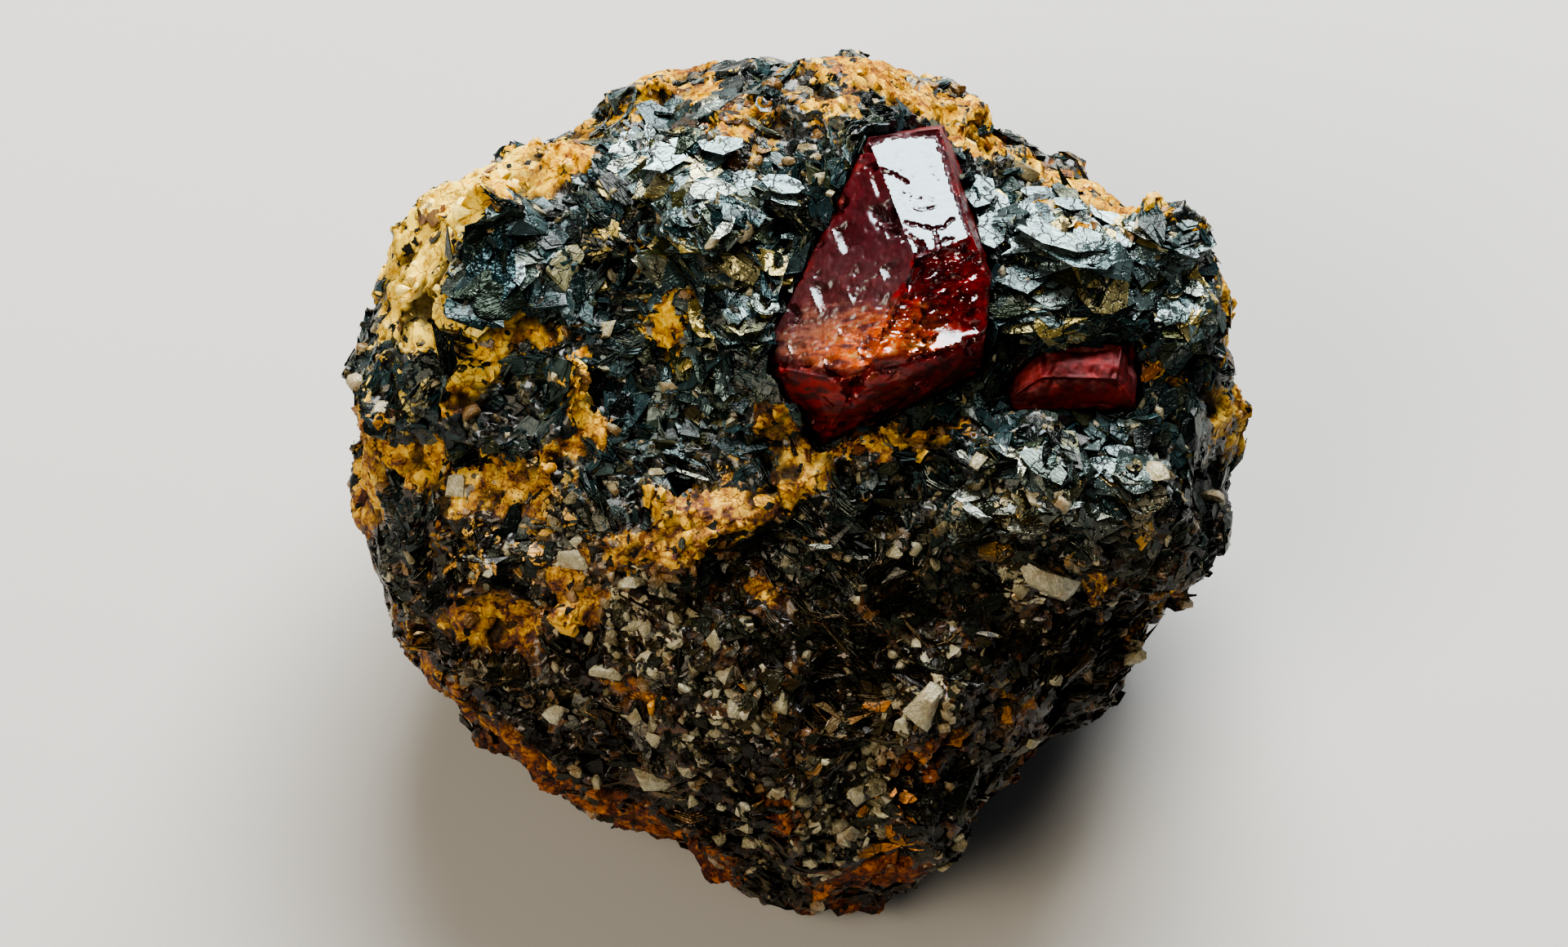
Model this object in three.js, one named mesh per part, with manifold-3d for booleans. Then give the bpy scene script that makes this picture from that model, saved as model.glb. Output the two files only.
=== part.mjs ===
// A zircon specimen on its natural matrix, in millimetres, +Z up.
//
// The matrix is one loose chunk of biotite rock. It lies on a flat break across its back, and its
// crystal face leans up and towards -Y. Two red zircons sit in sockets of that face: a large one
// that stands proud, and a small one sunk in a hollow beside it.
//
// Most sizes are given in the face frame: x runs across the crystal face, y runs up it, and
// z comes straight out of it. One turn about X and one lift bring that frame into the part's own.

import * as THREE from "three";
import { ConvexGeometry } from "three/addons/geometries/ConvexGeometry.js";
import { ImprovedNoise } from "three/addons/math/ImprovedNoise.js";
import { mergeVertices } from "three/addons/utils/BufferGeometryUtils.js";
import Module from "manifold-3d";

const wasm = await Module();
wasm.setup();

// ---------------------------------------------------------------- driving dimensions

const FACE_LEAN = 30; // degrees from lying flat to the crystal face
const CENTRE = { x: 0.21, y: -0.93, z: 15.5 }; // middle of the rock above the resting surface
const FRONT_DEPTH = 14; // from the middle out to the crystal face
const BACK_DEPTH = 20; // from the middle to the back, before the resting break is cut
const FULLNESS = 2.5; // 2 gives an ellipsoid, more gives a boxier chunk
const SURFACE_DETAIL = 13; // divisions of each icosahedron edge, less one
const SOCKET_GAP = 0.3; // clearance between a zircon and its socket

// Half-width of the rock at each angle round the crystal face: [degrees from +x towards +y, mm].
const OUTLINE = [
  [0, 24.0], [12, 25.3], [30, 25.3], [45, 22.7], [60, 21.6], [72, 22.8], [81, 24.1], [95, 22.9],
  [115, 23.1], [130, 24.0], [150, 25.5], [163, 25.3], [180, 24.2], [195, 23.6], [210, 22.6],
  [230, 21.6], [250, 21.1], [262, 22.7], [270, 23.5], [280, 22.2], [292, 21.5], [310, 19.8],
  [322, 19.8], [340, 21.3], [350, 23.0],
];

// Lumps and hollows of the crystal face: [x, y, half-length, half-width, degrees turned, rise].
const FACE_RELIEF = {
  leftKnob: [-16, 11.2, 3.4, 2.8, 90, 2.2],
  leftKnobFoot: [-16, 6.9, 3.2, 1.2, 0, -1.4],
  darkHollow: [-9.8, 8.8, 6.0, 2.3, 95, -2.8],
  lowerHollow: [-8.6, 1.6, 3.6, 2.6, 20, -1.4],
  middleRidge: [-4.6, 12.2, 7.0, 2.2, 98, 1.7],
  zirconBed: [3.6, 9.6, 7.5, 5.0, 75, 0.8],
  shadowUnderZircon: [8.2, 3.6, 3.2, 1.6, 5, -2.4],
  rightLobe: [16.6, 11.2, 6.4, 3.8, -12, 2.3],
  smallZirconHollow: [14.4, 5.2, 5.2, 1.9, 0, -2.0],
  ochreLedge: [-1.2, -0.8, 9.0, 1.5, 22, 1.3],
  underLedge: [-0.4, -3.6, 8.0, 1.4, 20, -1.0],
  ringPit: [-14.6, 4.4, 1.9, 1.8, 0, -2.6],
  ringPitRim: [-14.6, 4.4, 3.9, 3.6, 0, 1.2],
  leftCave: [-19.4, 1.7, 2.8, 1.1, -18, -2.2],
  lowerLeftLump: [-17.4, -3.6, 3.2, 2.8, 0, 1.7],
  lowerLeftPit: [-17.6, -8.2, 2.6, 1.1, 0, -1.3],
  valley: [2.2, -10.5, 6.0, 1.2, 100, -1.6],
  lowerBulge: [-6.6, -12.2, 5.6, 4.2, 0, 0.9],
  rightBulge: [14.0, -0.6, 6.6, 3.0, -8, 1.7],
  rightStep: [9.6, -7.0, 6.0, 1.7, -5, -1.6],
  quartzLump: [6.8, -10.8, 1.7, 1.6, 0, 0.9],
  topLedge: [-1.5, 20.0, 6.0, 1.8, 8, 1.3],
  topGroove: [-7.6, 17.4, 5.0, 1.1, 32, -1.1],
};

// Broad breaks that square the sides and the back: a face normal in the face frame, and how far
// the break lies from the middle of the rock.
const BREAKS = [
  { normal: [-0.86, 0.1, -0.5], reach: 22.6 },
  { normal: [0.8, -0.25, -0.55], reach: 20.6 },
  { normal: [-0.35, 0.72, -0.6], reach: 21.4 },
  { normal: [0.5, 0.62, -0.6], reach: 20.8 },
  { normal: [-0.5, -0.6, -0.62], reach: 20.4 },
  { normal: [0.42, -0.66, -0.62], reach: 18.8 },
];

// ---------------------------------------------------------------- shared helpers

const radians = THREE.MathUtils.degToRad;
const noise = new ImprovedNoise();
const LAYER_SHIFT = 7.3; // keeps one layer's noise from lining up with the next one's

/** Layers of smooth noise, each half as strong and twice as fine as the one before. */
function layeredNoise(point, cellSize, layers) {
  let sum = 0;
  for (let layer = 0; layer < layers; layer++) {
    const scale = 2 ** layer / cellSize;
    const height = noise.noise(point.x * scale, point.y * scale + LAYER_SHIFT * layer, point.z * scale);
    sum += height / 2 ** layer;
  }
  return sum;
}

/** A repeatable stream of numbers from 0 to 1. */
function randomStream(seed) {
  let state = seed;
  return () => {
    state = (state * 1664525 + 1013904223) % 4294967296;
    return state / 4294967296;
  };
}

function solidFrom(geometry) {
  const bare = geometry.clone();
  bare.deleteAttribute("normal");
  bare.deleteAttribute("uv");
  const merged = mergeVertices(bare, 1e-4);
  return new wasm.Manifold(
    new wasm.Mesh({
      numProp: 3,
      vertProperties: merged.attributes.position.array,
      triVerts: new Uint32Array(merged.index.array),
    }),
  );
}

function geometryFrom(solid) {
  const mesh = solid.getMesh();
  const geometry = new THREE.BufferGeometry();
  geometry.setAttribute("position", new THREE.BufferAttribute(mesh.vertProperties, 3));
  geometry.setIndex(new THREE.BufferAttribute(mesh.triVerts, 1));
  geometry.computeVertexNormals();
  return geometry;
}

// ---------------------------------------------------------------- the rock's outer form

const SWELL_HEIGHT = 1.0; // rise of the smooth, broad unevenness
const SWELL_SIZE = 9; // width of its widest swells
const SWELL_LAYERS = 3;
const CELL_SIZE = 5.6; // width of the broken cells that step the surface
const CELL_STEP = 1.2; // greatest height between two cells
const CELL_TILT = 0.26; // greatest slope of a cell's top
const CELL_KEY = [73856093, 19349663, 83492791]; // primes that number each cell

/** The outline's half-width at an angle, on a smooth curve through the stated ones. */
function outlineRadius(degrees) {
  const count = OUTLINE.length;
  const at = (i) => OUTLINE[(i + count) % count][1];
  let index = OUTLINE.findIndex(([angle]) => angle > degrees) - 1;
  if (index < 0) index = count - 1;
  const start = OUTLINE[index][0];
  const end = index === count - 1 ? 360 : OUTLINE[index + 1][0];
  const t = (degrees - start) / (end - start);
  const [a, b, c, d] = [at(index - 1), at(index), at(index + 1), at(index + 2)];
  return b + 0.5 * t * (c - a + t * (2 * a - 5 * b + 4 * c - d + t * (3 * (b - c) + d - a)));
}

/** The angle of a place round the crystal face, from 0 to 360 degrees. */
function angleRound(x, y) {
  return (THREE.MathUtils.radToDeg(Math.atan2(y, x)) + 360) % 360;
}

/** Distance from the middle of the rock to its plain chunk form, along a unit direction. */
function chunkRadius(direction) {
  const across = Math.hypot(direction.x, direction.y);
  const depth = direction.z > 0 ? FRONT_DEPTH : BACK_DEPTH;
  const rim = across / outlineRadius(angleRound(direction.x, direction.y));
  const deep = Math.abs(direction.z) / depth;
  let radius = (rim ** FULLNESS + deep ** FULLNESS) ** (-1 / FULLNESS);
  for (const { normal, reach } of BREAKS) {
    const facing = direction.dot(new THREE.Vector3(...normal).normalize());
    if (facing > 0) radius = Math.min(radius, reach / facing);
  }
  return radius;
}

/** How far the lumps and hollows of the crystal face lift a point on it. */
function faceRise(point) {
  let rise = 0;
  for (const [x, y, length, width, turn, height] of Object.values(FACE_RELIEF)) {
    const cos = Math.cos(radians(turn));
    const sin = Math.sin(radians(turn));
    const along = ((point.x - x) * cos + (point.y - y) * sin) / length;
    const aside = ((point.y - y) * cos - (point.x - x) * sin) / width;
    rise += height * Math.exp(-((along ** 2 + aside ** 2) ** 1.5));
  }
  return rise * THREE.MathUtils.smoothstep(point.z, 0, 3);
}

/** The broken cell whose middle is nearest to a point: its middle, height and lean. */
function nearestCell(point) {
  const home = point.clone().divideScalar(CELL_SIZE).floor();
  let nearest = { distance: Infinity };
  for (let step = 0; step < 27; step++) {
    const x = home.x + (step % 3) - 1;
    const y = home.y + (Math.floor(step / 3) % 3) - 1;
    const z = home.z + Math.floor(step / 9) - 1;
    const random = randomStream(((x * CELL_KEY[0]) ^ (y * CELL_KEY[1]) ^ (z * CELL_KEY[2])) >>> 0);
    random(); // the first number of neighbouring cells is too alike
    const middle = new THREE.Vector3(x + random(), y + random(), z + random()).multiplyScalar(CELL_SIZE);
    const distance = middle.distanceTo(point);
    const height = random() - 0.5;
    const lean = new THREE.Vector3(random() - 0.5, random() - 0.5, random() - 0.5).multiplyScalar(2);
    if (distance < nearest.distance) nearest = { distance, middle, height, lean };
  }
  return nearest;
}

/** Broken, stepped relief: each cell of rock keeps its own height and its own small tilt. */
function brokenRise(point) {
  const { middle, height, lean } = nearestCell(point);
  return CELL_STEP * height + CELL_TILT * point.clone().sub(middle).dot(lean);
}

function rockSurfacePoint(direction) {
  const base = direction.clone().multiplyScalar(chunkRadius(direction));
  const swell = SWELL_HEIGHT * layeredNoise(base, SWELL_SIZE, SWELL_LAYERS);
  return direction.clone().multiplyScalar(base.length() + swell + brokenRise(base) + faceRise(base));
}

function rockGeometry() {
  const geometry = new THREE.IcosahedronGeometry(1, SURFACE_DETAIL);
  const positions = geometry.attributes.position;
  const point = new THREE.Vector3();
  for (let i = 0; i < positions.count; i++) {
    point.fromBufferAttribute(positions, i).normalize();
    positions.setXYZ(i, ...rockSurfacePoint(point));
  }
  return geometry;
}

/** The direction from the middle of the rock to a place on its crystal face. */
function faceDirection(x, y) {
  const rim = Math.hypot(x, y) / outlineRadius(angleRound(x, y));
  const rimmed = Math.max(0.05, 1 - rim ** FULLNESS); // stays off zero at the very rim
  return new THREE.Vector3(x, y, FRONT_DEPTH * rimmed ** (1 / FULLNESS)).normalize();
}

// ---------------------------------------------------------------- mica books

// A book is a short stack of mica. A large one is two flat plates with broken sides, one stepped
// on the other. A small one is a single plate.
const CORNERS = [5, 7]; // fewest and most corners of a plate
const CORNER_WANDER = 0.55; // how unevenly the corners are spaced, as a share of their spacing
const CORNER_REACH = [0.4, 0.56]; // a corner's distance from the middle, as a share of the width
const UPPER_PLATE = { share: 0.72, shift: 0.12, thicker: 1.5 }; // beside the plate below it
const BOOK_SINK = 0.35; // share of its thickness that a book's middle lies under the surface

// The books that show from a step away: [x, y, width, length, thickness, lean about x, lean about y].
const LARGE_BOOKS = [
  [-15.4, 12.8, 5.8, 5.0, 2.4, 20, -18],
  [-16.4, 9.6, 6.0, 4.4, 2.2, -14, 12],
  [-5.4, 17.4, 6.0, 5.4, 1.8, -34, -8],
  [-4.4, 12.6, 4.4, 6.4, 1.6, -8, -30],
  [-3.8, 7.6, 3.8, 5.6, 1.5, 4, -24],
  [0.0, 15.6, 3.6, 4.8, 1.3, -26, -20],
  [13.0, 13.6, 6.0, 5.0, 1.7, -30, 6],
  [17.6, 12.2, 5.2, 5.0, 1.7, -16, 24],
  [20.2, 8.8, 4.4, 5.0, 1.6, 6, 36],
  [11.6, 16.2, 3.8, 5.4, 1.4, -32, 26],
  [12.6, 0.8, 6.2, 4.4, 1.6, -22, -8],
  [17.4, -0.6, 5.4, 4.4, 1.5, -4, 22],
  [8.2, -2.0, 4.6, 3.6, 1.4, 12, 6],
  [1.8, -3.6, 6.0, 3.2, 1.4, 20, 0],
  [-16.6, -4.2, 5.2, 4.4, 1.7, 14, -16],
  [-7.6, 1.2, 4.6, 4.0, 1.3, 16, 12],
  [-3.6, -8.4, 4.4, 4.0, 1.3, 20, -6],
  [5.8, -14.6, 5.0, 3.8, 1.4, 34, 8],
];
const SMALL_BOOKS = 64;
const SMALL_BOOK_WIDTH = [2.4, 4.6];
const SMALL_BOOK_LENGTH = [0.7, 1.2]; // as a share of the width
const SMALL_BOOK_THICK = [0.8, 1.5];
const SMALL_BOOK_LEAN = 0.8; // spread of their lean away from the surface
const BOOK_SEED = 4111;
const GOLDEN_TURN = Math.PI * (3 - Math.sqrt(5)); // spreads the small books evenly all round

function between([low, high], random) {
  return low + (high - low) * random();
}

/** A corner loop with uneven sides, about one unit across. */
function brokenOutline(random) {
  const corners = Math.floor(between([CORNERS[0], CORNERS[1] + 0.99], random));
  const shape = new THREE.Shape();
  for (let i = 0; i < corners; i++) {
    const turn = ((i + CORNER_WANDER * random()) / corners) * 2 * Math.PI;
    const reach = between(CORNER_REACH, random);
    const place = [reach * Math.cos(turn), reach * Math.sin(turn)];
    if (i === 0) shape.moveTo(...place);
    else shape.lineTo(...place);
  }
  shape.closePath();
  return shape;
}

/** One flat plate about its own middle, its broad faces looking along z. */
function plateGeometry(width, length, thick, random) {
  const plate = new THREE.ExtrudeGeometry(brokenOutline(random), { depth: 1, bevelEnabled: false });
  plate.translate(0, 0, -0.5);
  plate.scale(width, length, thick);
  return plate;
}

/** A book on the rock's surface in a direction from its middle, facing along a normal. */
function bookSolid(direction, normal, [width, length, thick], isStepped, random) {
  const plates = [plateGeometry(width, length, thick, random)];
  if (isStepped) {
    const { share, shift, thicker } = UPPER_PLATE;
    const upper = plateGeometry(share * width, share * length, thicker * thick, random);
    upper.translate(shift * width, 0, (0.5 * thicker - 0.5) * thick);
    plates.push(upper);
  }
  const spin = 2 * Math.PI * random();
  const turn = new THREE.Quaternion().setFromUnitVectors(new THREE.Vector3(0, 0, 1), normal);
  const middle = rockSurfacePoint(direction).addScaledVector(direction, -BOOK_SINK * thick);
  const solids = plates.map((plate) =>
    solidFrom(plate.rotateZ(spin).applyQuaternion(turn).translate(middle.x, middle.y, middle.z)),
  );
  return solids.reduce((whole, solid) => whole.add(solid));
}

function largeBooks(random) {
  return LARGE_BOOKS.map(([x, y, width, length, thick, leanX, leanY]) => {
    const normal = new THREE.Vector3(0, 0, 1).applyEuler(new THREE.Euler(radians(leanX), radians(leanY), 0));
    return bookSolid(faceDirection(x, y), normal, [width, length, thick], true, random);
  });
}

function smallBooks(random) {
  const made = [];
  for (let i = 0; i < SMALL_BOOKS; i++) {
    const height = 1 - (2 * (i + 0.5)) / SMALL_BOOKS;
    const side = Math.sqrt(1 - height ** 2);
    const turn = i * GOLDEN_TURN;
    const direction = new THREE.Vector3(side * Math.cos(turn), side * Math.sin(turn), height);
    const lean = new THREE.Vector3(random() - 0.5, random() - 0.5, random() - 0.5);
    const normal = direction.clone().addScaledVector(lean, SMALL_BOOK_LEAN).normalize();
    const width = between(SMALL_BOOK_WIDTH, random);
    const length = width * between(SMALL_BOOK_LENGTH, random);
    const thick = between(SMALL_BOOK_THICK, random);
    made.push(bookSolid(direction, normal, [width, length, thick], false, random));
  }
  return made;
}

// ---------------------------------------------------------------- pale grains

// Feldspar and quartz grains big enough to see from a step away: [x, y, width, height, proud].
const PALE_GRAINS = [
  [19.1, 0.1, 1.5, 1.5, 0.5],
  [22.2, -0.6, 1.6, 1.4, 0.5],
  [13.4, -5.6, 4.0, 2.0, 0.5],
  [6.8, -10.8, 2.8, 3.2, 0.6],
  [-13.3, -13.1, 1.7, 1.5, 0.6],
  [-8.3, -16.5, 1.8, 2.2, 0.6],
  [-13.9, 14.4, 1.4, 1.2, 0.5],
  [-2.9, 12.8, 1.4, 1.3, 0.6],
];
const GRAIN_DEPTH = 2.4; // from a grain's top to its buried root
const GRAIN_SWELL = 1.15; // a faceted grain is cut from a ball this much wider
const GRAIN_SEED = 977;

function grainSolids() {
  const random = randomStream(GRAIN_SEED);
  return PALE_GRAINS.map(([x, y, width, height, proud]) => {
    const grain = new THREE.IcosahedronGeometry(0.5, 0);
    grain.rotateX(2 * Math.PI * random());
    grain.rotateY(2 * Math.PI * random());
    grain.scale(GRAIN_SWELL * width, GRAIN_SWELL * height, GRAIN_DEPTH);
    const direction = faceDirection(x, y);
    grain.translate(...rockSurfacePoint(direction).addScaledVector(direction, proud - 0.5 * GRAIN_DEPTH));
    return solidFrom(grain);
  });
}

// ---------------------------------------------------------------- zircons

// A crystal is the space inside its faces. Each face is [azimuth, lean, distance]: the way it looks
// round the face frame's z, how far it leans from z, and how far it lies from the crystal's middle.
const LARGE_ZIRCON = {
  middle: [4.2, 9.6, 13.0],
  faces: {
    upperPyramid: [82, 38, 4.2],
    leftPyramid: [142, 39, 2.7],
    frontPrism: [3, 23, 4.0],
    lowerLeftPyramid: [223, 53, 6.3],
    lowerRightPyramid: [297, 62, 5.3],
    brokenCorner: [250, 30, 6.0],
    tip: [97, 84, 8.5],
    rightEdge: [21, 82, 5.9],
    rightPrism: [354, 90, 5.7],
    leftPrism: [153, 84, 4.3],
    lowerLeftPrism: [225, 88, 7.8],
    lowerRightPrism: [295, 88, 5.7],
    root: [0, 180, 5.5],
  },
};
const SMALL_ZIRCON = {
  middle: [14.5, 5.6, 9.4],
  faces: {
    upperPyramid: [88, 26, 2.2],
    lowerPyramid: [268, 34, 2.1],
    leftPyramid: [150, 46, 2.9],
    rightPyramid: [12, 50, 3.3],
    topPrism: [92, 84, 2.0],
    rightPrism: [2, 84, 3.7],
    leftPrism: [180, 88, 3.8],
    lowerPrism: [270, 86, 2.0],
    root: [0, 180, 3.2],
  },
};

function facePlane([azimuth, lean, distance], grow) {
  const across = Math.sin(radians(lean));
  const normal = new THREE.Vector3(
    across * Math.cos(radians(azimuth)),
    across * Math.sin(radians(azimuth)),
    Math.cos(radians(lean)),
  );
  return { normal, distance: distance + grow };
}

/** The point where three faces meet, or null where they are close to parallel. */
function meetingPoint(a, b, c) {
  const bc = new THREE.Vector3().crossVectors(b.normal, c.normal);
  const ca = new THREE.Vector3().crossVectors(c.normal, a.normal);
  const ab = new THREE.Vector3().crossVectors(a.normal, b.normal);
  const spread = a.normal.dot(bc);
  if (Math.abs(spread) < 1e-4) return null;
  return bc.multiplyScalar(a.distance / spread)
    .addScaledVector(ca, b.distance / spread)
    .addScaledVector(ab, c.distance / spread);
}

function crystalGeometry({ middle, faces }, grow = 0) {
  const planes = Object.values(faces).map((face) => facePlane(face, grow));
  const isInside = (point) => planes.every(({ normal, distance }) => normal.dot(point) < distance + 1e-4);
  const corners = [];
  planes.forEach((a, i) =>
    planes.slice(i + 1).forEach((b, j) =>
      planes.slice(i + j + 2).forEach((c) => {
        const corner = meetingPoint(a, b, c);
        if (corner && isInside(corner)) corners.push(corner);
      }),
    ),
  );
  const geometry = new ConvexGeometry(corners);
  geometry.translate(...middle);
  return geometry;
}

// ---------------------------------------------------------------- assembly

const faceToPart = new THREE.Matrix4()
  .makeRotationX(radians(FACE_LEAN))
  .setPosition(CENTRE.x, CENTRE.y, CENTRE.z);

const FLOOR_BLOCK = { width: 200, depth: 100 }; // what the resting break cuts away

/** The matrix: rock, mica books and grains in one, with a socket for each zircon, cut to rest on. */
function matrixGeometry() {
  const random = randomStream(BOOK_SEED);
  let rock = solidFrom(rockGeometry());
  for (const lump of [...largeBooks(random), ...smallBooks(random), ...grainSolids()]) {
    rock = rock.add(lump);
  }
  for (const crystal of [LARGE_ZIRCON, SMALL_ZIRCON]) {
    rock = rock.subtract(solidFrom(crystalGeometry(crystal, SOCKET_GAP)));
  }
  const whole = solidFrom(geometryFrom(rock).applyMatrix4(faceToPart));
  const floorBlock = new THREE.BoxGeometry(FLOOR_BLOCK.width, FLOOR_BLOCK.width, FLOOR_BLOCK.depth);
  floorBlock.translate(0, 0, -0.5 * FLOOR_BLOCK.depth);
  const pieces = whole.subtract(solidFrom(floorBlock)).decompose();
  pieces.sort((a, b) => b.volume() - a.volume());
  return geometryFrom(pieces[0]);
}

function namedMesh(name, geometry, color, roughness) {
  const mesh = new THREE.Mesh(geometry, new THREE.MeshStandardMaterial({ color, roughness, metalness: 0 }));
  mesh.name = name;
  return mesh;
}

const crystals = new THREE.Group();
crystals.applyMatrix4(faceToPart);
crystals.add(namedMesh("large_zircon", crystalGeometry(LARGE_ZIRCON), 0x6e0d08, 0.15));
crystals.add(namedMesh("small_zircon", crystalGeometry(SMALL_ZIRCON), 0x5a0a06, 0.25));

const specimen = new THREE.Group();
specimen.add(namedMesh("matrix", matrixGeometry(), 0x2c2a22, 0.6));
specimen.add(crystals);

export default specimen;
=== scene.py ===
# %% [markdown]
# # A zircon specimen on its matrix
#
# The specimen is a loose chunk of dark mica rock, about 50 mm across, with two red zircons in it.
# Its plain solids arrive as a fixed frame. This lesson gives them their looks: a finely broken
# rock surface, thousands of mica flakes, feldspar grains, and two glassy crystals.
#
# The frame comes first, because every piece made later is measured from it. All objects are in
# metres, but stone is easier to think about in millimetres, so the sizes below are in millimetres
# and are turned into metres at the last moment.

# %% Load the fixed frame
import math
import random

import bmesh
import bpy
import numpy as np
from mathutils import Matrix, Vector, noise
from mathutils.bvhtree import BVHTree


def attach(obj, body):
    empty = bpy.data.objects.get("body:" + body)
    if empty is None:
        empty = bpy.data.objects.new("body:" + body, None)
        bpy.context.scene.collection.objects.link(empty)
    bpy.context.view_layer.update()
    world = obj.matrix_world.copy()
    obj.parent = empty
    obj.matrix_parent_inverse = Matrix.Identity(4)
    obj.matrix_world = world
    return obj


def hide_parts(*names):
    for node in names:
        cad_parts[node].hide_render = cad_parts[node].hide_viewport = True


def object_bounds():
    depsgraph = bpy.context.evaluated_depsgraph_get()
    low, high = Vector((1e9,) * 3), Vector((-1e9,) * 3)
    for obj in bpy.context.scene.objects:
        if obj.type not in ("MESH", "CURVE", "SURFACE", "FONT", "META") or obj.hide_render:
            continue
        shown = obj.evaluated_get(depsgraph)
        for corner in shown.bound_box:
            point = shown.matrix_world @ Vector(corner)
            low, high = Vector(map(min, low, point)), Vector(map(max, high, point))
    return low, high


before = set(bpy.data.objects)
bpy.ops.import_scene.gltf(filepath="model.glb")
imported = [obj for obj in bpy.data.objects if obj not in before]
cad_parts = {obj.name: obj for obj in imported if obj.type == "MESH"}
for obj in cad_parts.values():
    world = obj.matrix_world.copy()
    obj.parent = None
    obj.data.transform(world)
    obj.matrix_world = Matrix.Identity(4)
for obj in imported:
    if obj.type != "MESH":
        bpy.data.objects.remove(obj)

MM = 0.001
solid_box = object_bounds()
low_corner = np.array(solid_box[0]) / MM
high_corner = np.array(solid_box[1]) / MM
print("solid box in mm:", low_corner.round(2), high_corner.round(2))

# %% [markdown]
# ## The face frame
#
# The specimen lies on its back, and the face that holds the crystals leans up towards the
# viewer. It is far easier to say "8 mm up the face" than to work out the three numbers that this
# makes in the room. So places on the rock are given in a face frame: x runs across the crystal
# face, y runs up it, and z comes straight out of it. One turn and one lift join the two frames.

# %% The face frame
FACE_LEAN = math.radians(30)
CENTRE = Vector((0.21, -0.93, 15.5))
face_to_part = Matrix.Translation(CENTRE) @ Matrix.Rotation(FACE_LEAN, 4, "X")
part_to_face = face_to_part.inverted()
to_face_turn = np.array(part_to_face.to_3x3())


def face_places(places):
    """Places of the part, as rows in millimetres, seen in the face frame."""
    return (places - np.array(CENTRE)) @ to_face_turn.T


def part_direction(direction):
    """A direction of the face frame, seen in the part's own frame."""
    return (face_to_part.to_3x3() @ Vector(direction)).normalized()


print("face looks along", part_direction((0, 0, 1)))

# %% [markdown]
# Mica and crystal faces work like small mirrors: one that lies halfway between the light and the
# eye flashes, and its neighbours stay black. So the light and the viewer are decided now, and
# the pieces made later can be turned towards that halfway direction where they should flash.

# %% The light, the viewer and the direction that glints
KEY_DIRECTION = Vector((0.135, 0.711, 0.69)).normalized()
VIEW_TILT = math.radians(60)  # the viewer's height above the horizon
view_back = Vector((0, -math.cos(VIEW_TILT), math.sin(VIEW_TILT)))
view_up = Vector((0, math.sin(VIEW_TILT), math.cos(VIEW_TILT)))
glint = (KEY_DIRECTION + view_back).normalized()
print("a face glints when it looks along", glint)
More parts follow.
